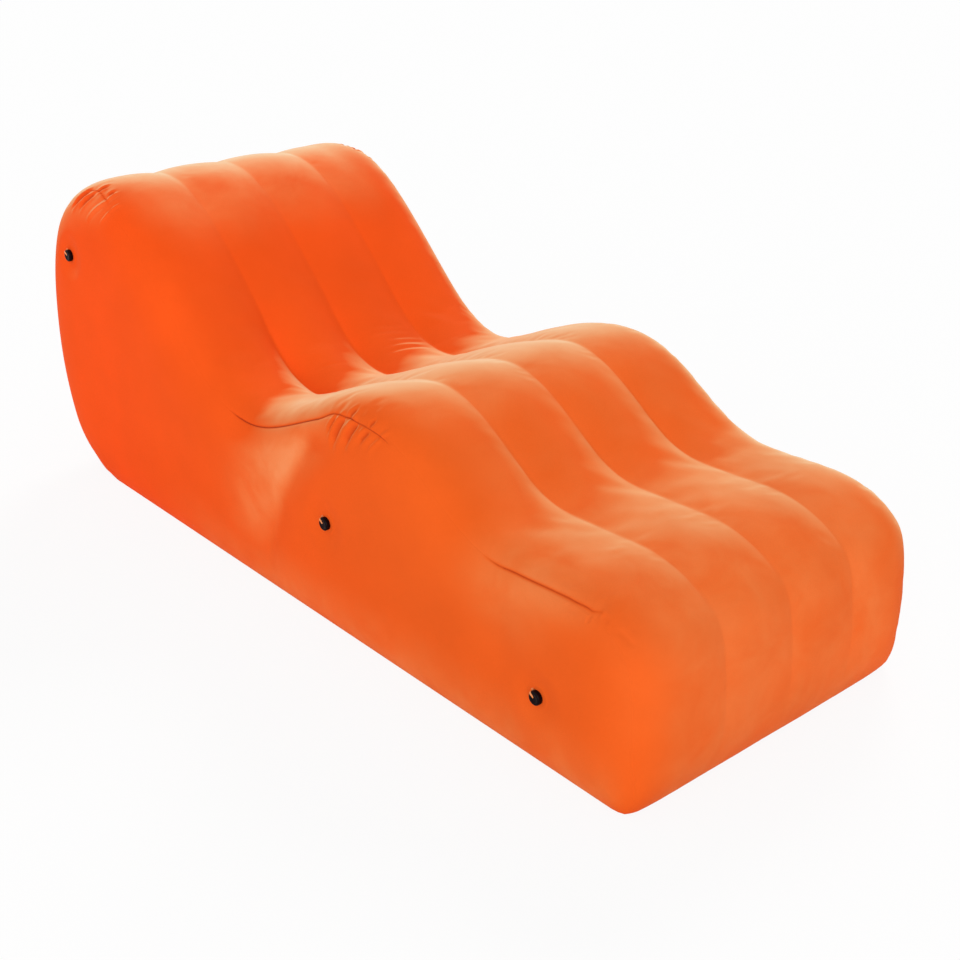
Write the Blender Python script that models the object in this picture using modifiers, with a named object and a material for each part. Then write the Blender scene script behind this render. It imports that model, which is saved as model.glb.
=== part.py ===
"""Inflatable lounger bed: a wave-shaped air envelope of four rolls in three chambers, with three valves.

Metres, +Z up. The origin is on the floor under the middle of the envelope. The head end is at -X, the
foot end at +X, and the valves are in the side at -Y.
"""
import math

import bmesh
import bpy
import numpy as np
from mathutils import Matrix, Vector

# Overall sizes
LENGTH = 1.788
WIDTH = 0.692
SIDE_BULGE = 0.0245
INNER_ROLL_WIDTH = 0.153

# Side profile: heights over the floor, and places of the waves as shares of the length from the back
BASE_START = 0.200
BACK_BELLY_HEIGHT = 0.295
HEAD_HEIGHT = 0.651
HEAD_PLACE_SHARE = 0.1471
SEAT_HEIGHT = 0.345
SEAT_PLACE_SHARE = 0.4256
KNEE_HEIGHT = 0.462
KNEE_PLACE_SHARE = 0.6376
LEG_HEIGHT = 0.337
LEG_PLACE_SHARE = 0.8311
FOOT_HEIGHT = 0.342
FOOT_PLACE_SHARE = 0.9010
FOOT_BELLY_HEIGHT = 0.154
FOOT_TUCK = 0.035

# Run of the profile between two neighbouring landmarks, as shares of their distance and of their drop
LOWER_BACK_SHARES = ((0.25, 0.03), (0.48, 0.095), (0.68, 0.20), (0.82, 0.34), (0.96, 0.66))
UPPER_BACK_SHARES = ((0.03, 0.28), (0.12, 0.55), (0.31, 0.79), (0.62, 0.945))
BACKREST_SHARES = ((0.19, 0.075), (0.36, 0.26), (0.51, 0.48), (0.655, 0.705), (0.81, 0.905))
KNEE_RISE_SHARES = ((0.25, 0.18), (0.50, 0.54), (0.74, 0.855))
SHIN_SHARES = ((0.28, 0.16), (0.53, 0.55), (0.79, 0.925))
INSTEP_SHARES = ((0.60, 0.62),)
TOE_SHARES = ((0.29, 0.022), (0.55, 0.10), (0.79, 0.25), (0.93, 0.475))
TOE_TUCK_SHARES = ((0.03, 0.33), (0.23, 0.64), (0.60, 0.87))

# Rolls: depth of the welded grooves, and how far the top sheet drops to its side seam
ROLL_DEPTH = 0.021
# Each pair: a landmark's number plus the share of the way to the next one, and the share of the depth
GROOVE_SHARES = ((0, 0.0), (1, 0.25), (2, 0.28), (2.4, 0.30), (2.85, 1.0), (3.0, 0.95), (3.5, 0.60), (4, 0.26),
                 (4.35, 0.60), (4.7, 0.80), (5.0, 0.28), (6.0, 0.28), (6.25, 0.45), (7, 0.20), (7.6, 0.0), (8, 0.0))
EDGE_DROP = 0.032
EDGE_FADE_BACK = 0.20
EDGE_FADE_FOOT = 0.12
EDGE_CREST_SHARE = 0.61
EDGE_POINT_SHARES = (0.0, 0.12, 0.42, 0.75)
SAG_AT_QUARTER_SHARE = 0.22

# Drawn-in sides: the side sheet swells out over BULGE_RUN from its seams, and dips at each partition
BULGE_RUN = 0.15
RING_INSETS = (0.020, 0.055)
RING_ROOM_SHARE = 0.75
VALLEY_DEPTH = 0.016
VALLEY_HALF_WIDTH = 0.080
VALLEY_FADE_HEIGHT = 0.10
VALLEY_FLOOR_SHARE = 0.4

# Cross partitions between the three chambers: shares of the length from the back, at the top and the floor
PARTITION_TOP_SHARES = (0.5000, 0.8356)
PARTITION_FOOT_SHARES = (0.4720, 0.8356)

# Sheets
SKIN = 0.0008
BASE_SKIN = 0.0006
WEB_SKIN = 0.0005
SEAT_GAP = 0.0003
SEAM_PULL = 0.0005
BASE_MARGIN = 0.0016
BASE_GROOVE_RISE = 0.003
BASE_GROOVE_HALF_WIDTH = 0.016
BASE_GROOVE_FADE = 0.060
WEB_END_GAP = 0.0012
VENT_RADIUS = 0.030

# Valves in the side at -Y: shares of the length from the back, and of the crest's height; sizes of one
VALVE_PLACE_SHARES = (0.0912, 0.5811, 0.8814)
VALVE_HEIGHT_SHARES = (0.7558, 0.4719, 0.3889)
PAD_RADIUS = 0.026
DIMPLE_RADIUS = 0.044
PAD_MARGIN = 0.003
PAD_SIDES = 12
VALVE_DIMPLE = 0.005
STEM_RADIUS = 0.0065
BORE_RADIUS = 0.0050
STEM_CLEARANCE = 0.0005
STEM_LENGTH = 0.0180
STEM_BEAD = 0.0015
STEM_BEAD_HEIGHT = 0.0012
RIM_RADIUS = 0.0110
RIM_THICKNESS = 0.0010
EDGE_CHAMFER = 0.0003
FLANGE_RADIUS = 0.0200
FLANGE_THICKNESS = 0.0010
SLEEVE_WALL = 0.0015
SLEEVE_LENGTH = 0.0030
CAP_RADIUS = 0.0120
CAP_THICKNESS = 0.0032
CAP_DISH = 0.0006
CAP_DISH_RADIUS = 0.0075
CAP_ROUND = 0.0010
CAP_ROUND_SHARE = 0.3
SKIRT_WALL = 0.0007
SKIRT_LENGTH = 0.0011
PLUG_CLEARANCE = 0.0003
PLUG_TAPER = 0.0012
PLUG_LENGTH = 0.0045
STRAP_WIDTH = 0.0050
STRAP_THICKNESS = 0.0008
HINGE_RADIUS = 0.0135
HINGE_GAP = 0.0005
POST_THICKNESS = 0.0010
STRAP_TURN_DEG = 45.0
FLAP_RADIUS = 0.0058
FLAP_THICKNESS = 0.0006
FLAP_HINGE_RADIUS = 0.0070
FLAP_TAB_WIDTH = 0.0050

# Counts
PATH_SAMPLES = 40
STATION_RUN = 0.12
STATION_TURN = 0.35
BACK_STEPS = (3, 4)
TOP_STEPS = (3, 6, 1, 1, 3, 3, 1, 1, 2)
FLOOR_STEPS = (9, 1, 1, 6, 1, 1, 2)
FOOT_STEPS = (4, 3)
ROUND_SIDES = 24
OVERRUN = 0.010
MERGE_DISTANCE = 0.00001
END_BLEND_POWER = 4

SEAM_HALF = WIDTH / 2 - SIDE_BULGE
CREST_HALF = SEAM_HALF - EDGE_CREST_SHARE * (SEAM_HALF - INNER_ROLL_WIDTH)
ROUND_OUT = WIDTH / 2 - CREST_HALF
ROUND_DOWN = EDGE_DROP + BULGE_RUN
GROOVE_PLACES = (-INNER_ROLL_WIDTH, 0.0, INNER_ROLL_WIDTH)
BACK_X = -LENGTH / 2
FLOOR_X0 = BACK_X + BASE_START
FLOOR_X1 = BACK_X + LENGTH - FOOT_TUCK

ORANGE = (0.86, 0.115, 0.016, 1.0)
BASE_ORANGE = (0.62, 0.085, 0.015, 1.0)
MILKY = (0.72, 0.66, 0.58, 1.0)
BLACK = (0.012, 0.012, 0.013, 1.0)
CLEAR_ORANGE = (0.75, 0.14, 0.03, 1.0)


def clear_scene():
    for obj in list(bpy.data.objects):
        bpy.data.objects.remove(obj, do_unlink=True)


def new_collection(name):
    collection = bpy.data.collections.new(name)
    bpy.context.scene.collection.children.link(collection)
    return collection


def material(name, colour, roughness, metallic=0.0):
    mat = bpy.data.materials.new(name)
    mat.use_nodes = True
    shader = mat.node_tree.nodes["Principled BSDF"]
    shader.inputs["Base Color"].default_value = colour
    shader.inputs["Roughness"].default_value = roughness
    shader.inputs["Metallic"].default_value = metallic
    mat.diffuse_color = colour
    return mat


def add_object(name, mesh, collection, mat=None, matrix=None):
    obj = bpy.data.objects.new(name, mesh)
    collection.objects.link(obj)
    if mat is not None:
        mesh.materials.clear()
        mesh.materials.append(mat)
    if matrix is not None:
        obj.matrix_world = matrix
    return obj


def hide_cutter(obj):
    obj.hide_render = True
    obj.display_type = 'WIRE'
    return obj


# Side profile
def along(share):
    """X at a share of the length from the back."""
    return BACK_X + LENGTH * share


def landmarks():
    """The nine points that the profile turns at, from the floor behind to the floor at the foot."""
    return (
        (FLOOR_X0, 0.0),
        (BACK_X, BACK_BELLY_HEIGHT),
        (along(HEAD_PLACE_SHARE), HEAD_HEIGHT),
        (along(SEAT_PLACE_SHARE), SEAT_HEIGHT),
        (along(KNEE_PLACE_SHARE), KNEE_HEIGHT),
        (along(LEG_PLACE_SHARE), LEG_HEIGHT),
        (along(FOOT_PLACE_SHARE), FOOT_HEIGHT),
        (BACK_X + LENGTH, FOOT_BELLY_HEIGHT),
        (FLOOR_X1, 0.0),
    )


def profile_points():
    """Landmarks with the shaped runs between them, and the index of each landmark."""
    marks = landmarks()
    runs = (LOWER_BACK_SHARES, UPPER_BACK_SHARES, BACKREST_SHARES, KNEE_RISE_SHARES, SHIN_SHARES,
            INSTEP_SHARES, TOE_SHARES, TOE_TUCK_SHARES)
    points = []
    index = []
    for start, end, shares in zip(marks[:-1], marks[1:], runs):
        index.append(len(points))
        points.append(start)
        for onward, fall in shares:
            points.append((start[0] + (end[0] - start[0]) * onward, start[1] + (end[1] - start[1]) * fall))
    index.append(len(points))
    points.append(marks[-1])
    return np.array(points), index


def smooth_path(points, first_heading):
    """Cubic curve with even curvature through the points. Returns samples and each point's sample."""
    chord = np.hypot(*np.diff(points, axis=0).T)
    step = np.sqrt(chord)
    slope = np.diff(points, axis=0) / step[:, None]
    count = len(points)
    system = np.zeros((count, count))
    right = np.zeros((count, 2))
    system[0, 0] = 1.0
    right[0] = np.array(first_heading) * np.hypot(*slope[0])
    for i in range(1, count - 1):
        system[i, i - 1] = step[i]
        system[i, i] = 2 * (step[i - 1] + step[i])
        system[i, i + 1] = step[i - 1]
        right[i] = 3 * (step[i] * slope[i - 1] + step[i - 1] * slope[i])
    system[-1, -1] = 2.0
    system[-1, -2] = 1.0
    right[-1] = 3 * slope[-1]
    tangent = np.linalg.solve(system, right)
    samples = []
    for i in range(count - 1):
        for k in range(PATH_SAMPLES):
            t = k / PATH_SAMPLES
            samples.append(points[i] * (1 + 2 * t) * (1 - t) ** 2 + points[i + 1] * t * t * (3 - 2 * t)
                           + tangent[i] * step[i] * t * (1 - t) ** 2
                           - tangent[i + 1] * step[i] * t * t * (1 - t))
    samples.append(points[-1])
    return np.array(samples)


class Profile:
    """The crest line of the rolls in the XZ plane, measured by its run from the floor behind."""

    def __init__(self):
        points, index = profile_points()
        self.xz = smooth_path(points, (-1.0, 0.0))
        self.xz[:, 1] = np.maximum(self.xz[:, 1], 0.0)
        step = np.diff(self.xz, axis=0)
        self.run = np.concatenate(([0.0], np.cumsum(np.hypot(step[:, 0], step[:, 1]))))
        heading = np.unwrap(np.arctan2(np.gradient(self.xz[:, 1]), np.gradient(self.xz[:, 0])))
        self.heading = heading
        turning = np.concatenate(([0.0], np.cumsum(np.abs(np.diff(heading)))))
        self.effort = self.run / STATION_RUN + turning / STATION_TURN
        self.marks = [self.run[i * PATH_SAMPLES] for i in index]

    def place(self, run):
        return np.array((np.interp(run, self.run, self.xz[:, 0]), np.interp(run, self.run, self.xz[:, 1])))

    def outward(self, run):
        angle = np.interp(run, self.run, self.heading)
        return np.array((-math.sin(angle), math.cos(angle)))

    def split(self, start, end, steps):
        """Runs of the stations after start, up to end, closer where the profile turns."""
        low, high = np.interp((start, end), self.run, self.effort)
        return [np.interp(low + (high - low) * (k + 1) / steps, self.effort, self.run) for k in range(steps)]

    def run_at_x(self, x):
        """Run at which the upper side of the profile passes over x."""
        first = int(np.argmin(self.xz[:, 0]))
        last = int(np.argmax(self.xz[:, 0]))
        return np.interp(x, self.xz[first:last, 0], self.run[first:last])

    def shoulder(self, low, high):
        """Run halfway through the turn between two runs."""
        angles = np.interp((low, high), self.run, self.heading)
        inside = (self.run >= low) & (self.run <= high)
        gap = np.abs(self.heading[inside] - (angles[0] + angles[1]) / 2)
        return self.run[inside][int(np.argmin(gap))]


def station_runs(profile):
    """Runs of all stations, and which of them carry the two partitions."""
    marks = profile.marks
    back_shoulder = profile.shoulder(marks[1], marks[2])
    foot_shoulder = profile.shoulder(marks[6], marks[7])
    tops = [profile.run_at_x(along(share)) for share in PARTITION_TOP_SHARES]
    knots = [marks[0], marks[1], back_shoulder, marks[2], tops[0] - VALLEY_HALF_WIDTH, tops[0],
             tops[0] + VALLEY_HALF_WIDTH, marks[4], tops[1] - VALLEY_HALF_WIDTH, tops[1],
             tops[1] + VALLEY_HALF_WIDTH, foot_shoulder, marks[7], marks[8]]
    steps = BACK_STEPS + TOP_STEPS + FOOT_STEPS
    runs = [knots[0]]
    ends = []
    for start, end, count in zip(knots[:-1], knots[1:], steps):
        runs.extend(profile.split(start, end, count))
        ends.append(len(runs) - 1)
    return runs, (ends[4], ends[8])


def floor_places():
    """X of the points along the floor seam, with a point at the foot of each partition."""
    feet = [along(share) for share in PARTITION_FOOT_SHARES]
    knots = [FLOOR_X0, feet[0] - VALLEY_HALF_WIDTH, feet[0], feet[0] + VALLEY_HALF_WIDTH,
             feet[1] - VALLEY_HALF_WIDTH, feet[1], feet[1] + VALLEY_HALF_WIDTH, FLOOR_X1]
    places = [knots[0]]
    for start, end, count in zip(knots[:-1], knots[1:], FLOOR_STEPS):
        places.extend(start + (end - start) * (k + 1) / count for k in range(count))
    return places


# Rounded edge: one curve from the crest of the outer roll, through the side seam, to the side's belly
def edge_power():
    """Power of the curve that takes it through the seam."""
    out = (SEAM_HALF - CREST_HALF) / ROUND_OUT
    up = BULGE_RUN / ROUND_DOWN
    low, high = 1.0, 20.0
    for _ in range(60):
        power = (low + high) / 2
        if out ** power + up ** power > 1:
            low = power
        else:
            high = power
    return power


def edge_curve(share):
    """The curve's reach along one axis at a share of its reach along the other."""
    return (1 - share ** EDGE_POWER) ** (1 / EDGE_POWER)


EDGE_POWER = edge_power()


# Cross-section of the top sheet
def across_points():
    """Y of each line along the top sheet, with its share of the groove depth and of the edge drop."""
    outer = SEAM_HALF - INNER_ROLL_WIDTH
    line = []
    for share in EDGE_POINT_SHARES:
        y = -SEAM_HALF + outer * share
        drop = ROUND_DOWN / EDGE_DROP * (1 - edge_curve(max(0.0, -y - CREST_HALF) / ROUND_OUT))
        sag = max(0.0, (share - EDGE_CREST_SHARE) / (1 - EDGE_CREST_SHARE)) ** 2
        line.append((y, sag, drop))
    for quarter, sag in ((0, 1.0), (1, SAG_AT_QUARTER_SHARE), (2, 0.0), (3, SAG_AT_QUARTER_SHARE)):
        line.append((-INNER_ROLL_WIDTH + INNER_ROLL_WIDTH * quarter / 4, sag, 0.0))
    return line + [(0.0, 1.0, 0.0)] + [(-y, sag, drop) for y, sag, drop in reversed(line)]


def top_grid(profile, runs):
    """Points of the top sheet's outer face, one row for each station."""
    rows = []
    groove_places, groove_shares = zip(*GROOVE_SHARES)
    groove_curve = (np.interp(groove_places, range(len(profile.marks)), profile.marks), groove_shares)
    ends = (0.0, EDGE_FADE_BACK, profile.run[-1] - EDGE_FADE_FOOT, profile.run[-1])
    for run in runs:
        place = profile.place(run)
        outward = profile.outward(run)
        groove = ROLL_DEPTH * np.interp(run, *groove_curve)
        edge = EDGE_DROP * np.interp(run, ends, (0.0, 1.0, 1.0, 0.0))
        row = []
        for y, sag, drop in across_points():
            spot = place - outward * (groove * sag + edge * drop)
            row.append(Vector((spot[0], y, max(spot[1], 0.0))))
        rows.append(row)
    return rows


# Side sheets
def side_loops(outline, partition_stations, partition_floor, partition_lines):
    """The side's outline and the rings inside it, each point moved in from the one before."""
    count = len(outline)
    inward = []
    for i in range(count):
        before = outline[i] - outline[i - 1]
        after = outline[(i + 1) % count] - outline[i]
        before = before / np.hypot(*before)
        after = after / np.hypot(*after)
        middle = np.array((before[1] + after[1], -before[0] - after[0]))
        middle = middle / np.hypot(*middle)
        room = RING_ROOM_SHARE * min(np.hypot(*(outline[i] - outline[i - 1])),
                                     np.hypot(*(outline[(i + 1) % count] - outline[i]))) / RING_INSETS[-1]
        inward.append(middle * min(1.0, room) / max(0.5, float(middle @ np.array((after[1], -after[0])))))
    for station, floor, (top, foot) in zip(partition_stations, partition_floor, partition_lines):
        down = (foot - top) / np.hypot(*(foot - top))
        inward[station] = down * np.hypot(*inward[station])
        inward[floor] = -down * np.hypot(*inward[floor])
    return [outline] + [outline + np.array(inward) * inset for inset in RING_INSETS]


def patch(left, top, right, bottom):
    """Grid between four lines: the columns are straight, and bend only near the two end lines."""
    rows = len(left)
    columns = len(top)
    grid = np.zeros((rows, columns, 2))
    for j in range(columns):
        u = j / (columns - 1)
        for i in range(rows):
            v = i / (rows - 1)
            ruled = bottom[j] * (1 - v) + top[j] * v
            first = left[i] - (bottom[0] * (1 - v) + top[0] * v)
            last = right[i] - (bottom[-1] * (1 - v) + top[-1] * v)
            grid[i, j] = ruled + first * (1 - u) ** END_BLEND_POWER + last * u ** END_BLEND_POWER
    return grid


def distance_to_outline(point, outline):
    """Least distance from a point to the closed outline."""
    start = outline
    along = np.roll(outline, -1, axis=0) - start
    share = np.clip(((point - start) * along).sum(axis=1) / (along ** 2).sum(axis=1), 0.0, 1.0)
    gap = start + along * share[:, None] - point
    return float(np.sqrt((gap ** 2).sum(axis=1).min()))


def side_swell(point, outline, partition_lines):
    """How far the side sheet stands out of the plane of its seams at a point of that plane."""
    gap = distance_to_outline(point, outline)
    swell = CREST_HALF - SEAM_HALF + ROUND_OUT * edge_curve(max(0.0, BULGE_RUN - gap) / ROUND_DOWN)
    for top, foot in partition_lines:
        down = (foot - top) / np.hypot(*(foot - top))
        aside = abs(float((point[0] - top[0]) * down[1] - (point[1] - top[1]) * down[0]))
        near = max(0.0, 1 - aside / VALLEY_HALF_WIDTH)
        level = min(1.0, max(0.0, point[1] / top[1]))
        fade = VALLEY_FLOOR_SHARE + (1 - VALLEY_FLOOR_SHARE) * level
        fade *= min(1.0, gap / VALLEY_FADE_HEIGHT)
        swell -= VALLEY_DEPTH * near * near * (3 - 2 * near) * fade
    return max(swell, 0.0)


def valve_points():
    """Centres of the valves in the side's plane."""
    crests = (HEAD_HEIGHT, KNEE_HEIGHT, FOOT_HEIGHT)
    return [np.array((along(place), crest * height))
            for place, crest, height in zip(VALVE_PLACE_SHARES, crests, VALVE_HEIGHT_SHARES)]


def reaches_pad(face, centre):
    """Whether a face of the side's plane reaches into the circle round a valve's dimple."""
    corners = np.array([(vert.co.x, vert.co.z) for vert in face.verts])
    turn = np.roll(corners, -1, axis=0) - corners
    aside = centre - corners
    sides = turn[:, 0] * aside[:, 1] - turn[:, 1] * aside[:, 0]
    inside = (sides > 0).all() or (sides < 0).all()
    return inside or distance_to_outline(centre, corners) < DIMPLE_RADIUS + PAD_MARGIN


def set_pad(bm, centre):
    """Replace the faces round a valve by a flat round pad with a ring of faces that leads up to it."""
    cleared = [face for face in bm.faces if reaches_pad(face, centre)]
    edge_loop = [edge for edge in {e for face in cleared for e in face.edges}
                 if sum(face in cleared for face in edge.link_faces) == 1]
    bmesh.ops.delete(bm, geom=cleared, context='FACES_ONLY')
    loose = [edge for edge in bm.edges if not edge.link_faces and edge not in edge_loop]
    bmesh.ops.delete(bm, geom=loose, context='EDGES')
    rings = []
    for radius in (PAD_RADIUS, DIMPLE_RADIUS):
        spots = circle_points(radius, PAD_SIDES, centre)
        rings.append([bm.verts.new((x, 0.0, z)) for x, z in spots])
    pad, rim = rings
    for i in range(PAD_SIDES):
        k = (i + 1) % PAD_SIDES
        bm.faces.new((pad[i], pad[k], rim[k], rim[i]))
    bm.faces.new(pad)
    rim_edges = [bm.edges.get((rim[i], rim[(i + 1) % PAD_SIDES])) for i in range(PAD_SIDES)]
    bmesh.ops.triangle_fill(bm, use_beauty=True, edges=edge_loop + rim_edges, normal=(0.0, 1.0, 0.0))
    bmesh.ops.recalc_face_normals(bm, faces=list(bm.faces))


def side_mesh(layout, side, pull, with_pads):
    """One side sheet as a bmesh. side is -1 or +1, pull shortens it at its edge."""
    outline, loops, grid, split, partition_lines = layout
    bm = bmesh.new()
    count = len(outline)
    rings = []
    for number, loop in enumerate(loops):
        ring = []
        for i in range(count):
            spot = loop[i]
            if number == 0 and pull > 0:
                inner = loops[1][i] - loop[i]
                spot = spot + inner / np.hypot(*inner) * pull
            ring.append(bm.verts.new((spot[0], 0.0, spot[1])))
        rings.append(ring)
    rows, columns = grid.shape[:2]
    last = rings[-1]
    inside = [[None] * columns for _ in range(rows)]
    for i in range(rows):
        for j in range(columns):
            if j == 0:
                inside[i][j] = last[i]
            elif j == columns - 1:
                inside[i][j] = last[split + (rows - 1 - i)]
            elif i == rows - 1:
                inside[i][j] = last[rows - 1 + j]
            elif i == 0:
                inside[i][j] = last[count - j]
            else:
                inside[i][j] = bm.verts.new((grid[i, j, 0], 0.0, grid[i, j, 1]))
    for outer_ring, inner_ring in zip(rings[:-1], rings[1:]):
        for i in range(count):
            k = (i + 1) % count
            bm.faces.new((outer_ring[i], outer_ring[k], inner_ring[k], inner_ring[i]))
    for i in range(rows - 1):
        for j in range(columns - 1):
            bm.faces.new((inside[i][j], inside[i + 1][j], inside[i + 1][j + 1], inside[i][j + 1]))
    if with_pads:
        for centre in valve_points():
            set_pad(bm, centre)
    ring_spots = {vert: i for i, vert in enumerate(rings[0])}
    for vert in bm.verts:
        point = np.array((vert.co.x, vert.co.z))
        swell = side_swell(point, outline, partition_lines)
        if vert in ring_spots:
            neighbour = loops[1][ring_spots[vert]]
            reach = np.hypot(*(neighbour - outline[ring_spots[vert]]))
            swell = side_swell(neighbour, outline, partition_lines) * pull / reach
        if with_pads:
            for centre in valve_points():
                if np.hypot(*(point - centre)) < (PAD_RADIUS + DIMPLE_RADIUS) / 2:
                    swell = side_swell(centre, outline, partition_lines) - VALVE_DIMPLE
        vert.co.y = side * (SEAM_HALF + swell)
    bm.normal_update()
    if sum(face.normal.y * face.calc_area() for face in bm.faces) * side < 0:
        bmesh.ops.reverse_faces(bm, faces=list(bm.faces))
    bmesh.ops.triangulate(bm, faces=list(bm.faces), quad_method='FIXED')
    return bm


def top_mesh(rows, pull):
    """The top sheet as a bmesh, shortened by pull at its four edges."""
    bm = bmesh.new()
    grid = [list(row) for row in rows]
    if pull > 0:
        for row in grid:
            row[0] = row[0] + (row[1] - row[0]).normalized() * pull
            row[-1] = row[-1] + (row[-2] - row[-1]).normalized() * pull
        for edge, inner in ((0, 1), (-1, -2)):
            grid[edge] = [a + (b - a).normalized() * pull for a, b in zip(grid[edge], grid[inner])]
    verts = [[bm.verts.new(point) for point in row] for row in grid]
    for i in range(len(verts) - 1):
        for j in range(len(verts[0]) - 1):
            bm.faces.new((verts[i][j], verts[i + 1][j], verts[i + 1][j + 1], verts[i][j + 1]))
    bm.normal_update()
    middle = Vector((0.0, 0.0, SEAT_HEIGHT / 2))
    if sum(f.normal.dot(f.calc_center_median() - middle) * f.calc_area() for f in bm.faces) < 0:
        bmesh.ops.reverse_faces(bm, faces=list(bm.faces))
    bmesh.ops.triangulate(bm, faces=list(bm.faces), quad_method='FIXED')
    return bm


def finish(bm, name):
    mesh = bpy.data.meshes.new(name)
    bm.to_mesh(mesh)
    bm.free()
    return mesh


def thicken(obj, thickness):
    shell = obj.modifiers.new("sheet", 'SOLIDIFY')
    shell.thickness = thickness
    shell.offset = -1.0
    shell.use_even_offset = True
    shell.use_quality_normals = True
    return obj


def air_space(rows, layout, cutters):
    """Closed inner volume of the envelope, one sheet and one seat gap inside its outer faces."""
    bm = top_mesh(rows, 0.0)
    for side in (-1, 1):
        part = side_mesh(layout, side, 0.0, side < 0)
        mesh = bpy.data.meshes.new("side_of_air")
        part.to_mesh(mesh)
        part.free()
        bm.from_mesh(mesh)
        bpy.data.meshes.remove(mesh)
    bmesh.ops.remove_doubles(bm, verts=list(bm.verts), dist=MERGE_DISTANCE)
    rim = [edge for edge in bm.edges if edge.is_boundary]
    bmesh.ops.contextual_create(bm, geom=rim)
    bmesh.ops.recalc_face_normals(bm, faces=list(bm.faces))
    bmesh.ops.triangulate(bm, faces=list(bm.faces), quad_method='FIXED')
    bm.normal_update()
    moved = [(v, v.co - v.normal * (SKIN + SEAT_GAP) * v.calc_shell_factor()) for v in bm.verts]
    for vert, spot in moved:
        vert.co = spot
    mesh = bpy.data.meshes.new("air_space")
    bm.to_mesh(mesh)
    bm.free()
    return hide_cutter(add_object("air_space", mesh, cutters))


# Flat sheets and turned pieces
def circle_points(radius, sides, centre=(0.0, 0.0)):
    return [(centre[0] + radius * math.cos(2 * math.pi * k / sides),
             centre[1] + radius * math.sin(2 * math.pi * k / sides)) for k in range(sides)]


def flat_mesh(name, outlines, thickness):
    """Mesh of a flat sheet with holes: the first outline is its edge, and it is centred on its plane."""
    curve = bpy.data.curves.new(name, 'CURVE')
    curve.dimensions = '2D'
    curve.fill_mode = 'BOTH'
    curve.extrude = thickness / 2
    for outline in outlines:
        spline = curve.splines.new('POLY')
        spline.points.add(len(outline) - 1)
        spline.use_cyclic_u = True
        for point, (x, y) in zip(spline.points, outline):
            point.co = (x, y, 0.0, 1.0)
    source = bpy.data.objects.new(name + "_outline", curve)
    bpy.context.scene.collection.objects.link(source)
    graph = bpy.context.evaluated_depsgraph_get()
    mesh = bpy.data.meshes.new_from_object(source.evaluated_get(graph))
    bpy.data.objects.remove(source, do_unlink=True)
    bm = bmesh.new()
    bm.from_mesh(mesh)
    bmesh.ops.remove_doubles(bm, verts=list(bm.verts), dist=MERGE_DISTANCE)
    bmesh.ops.recalc_face_normals(bm, faces=list(bm.faces))
    bm.to_mesh(mesh)
    bm.free()
    mesh.name = name
    return mesh


def turned_mesh(name, profile, sides=ROUND_SIDES):
    """Mesh of a piece turned about local Z from a closed profile of (radius, height) points."""
    bm = bmesh.new()
    loop = [bm.verts.new((radius, 0.0, height)) for radius, height in profile]
    for i in range(len(loop)):
        bm.edges.new((loop[i], loop[(i + 1) % len(loop)]))
    base = bpy.data.meshes.new(name + "_profile")
    bm.to_mesh(base)
    bm.free()
    source = bpy.data.objects.new(name + "_profile", base)
    bpy.context.scene.collection.objects.link(source)
    screw = source.modifiers.new("turn", 'SCREW')
    screw.steps = sides
    screw.render_steps = sides
    screw.use_merge_vertices = True
    screw.merge_threshold = MERGE_DISTANCE
    graph = bpy.context.evaluated_depsgraph_get()
    mesh = bpy.data.meshes.new_from_object(source.evaluated_get(graph))
    bpy.data.objects.remove(source, do_unlink=True)
    bm = bmesh.new()
    bm.from_mesh(mesh)
    bmesh.ops.remove_doubles(bm, verts=list(bm.verts), dist=MERGE_DISTANCE)
    bmesh.ops.recalc_face_normals(bm, faces=list(bm.faces))
    bm.to_mesh(mesh)
    bm.free()
    mesh.name = name
    return mesh


def box_mesh(name, low, high):
    """Mesh of a box between two corners."""
    bm = bmesh.new()
    bmesh.ops.create_cube(bm, size=1.0)
    centre = (Vector(low) + Vector(high)) / 2
    size = Vector(high) - Vector(low)
    for vert in bm.verts:
        vert.co = Vector((vert.co.x * size.x, vert.co.y * size.y, vert.co.z * size.z)) + centre
    mesh = bpy.data.meshes.new(name)
    bm.to_mesh(mesh)
    bm.free()
    return mesh


def combine(obj, other, operation):
    mod = obj.modifiers.new(operation.lower(), 'BOOLEAN')
    mod.operation = operation
    mod.object = other
    mod.solver = 'EXACT'
    return obj


# Inner webs and partitions
def lift_to_side_plane(y):
    """Matrix that stands a sheet drawn in XY up in the XZ plane at y."""
    return Matrix.Translation((0.0, y, 0.0)) @ Matrix.Rotation(math.radians(90.0), 4, 'X')


def web_outline(limits, low, high):
    """Four corners of a web's blank between two end lines, each an (x at low, x at high) pair."""
    (left_low, left_high), (right_low, right_high) = limits
    return [(left_low, low), (right_low, low), (right_high, high), (left_high, high)]


def line_x(top, foot, height):
    return foot[0] + (top[0] - foot[0]) * (height - foot[1]) / (top[1] - foot[1])


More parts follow.
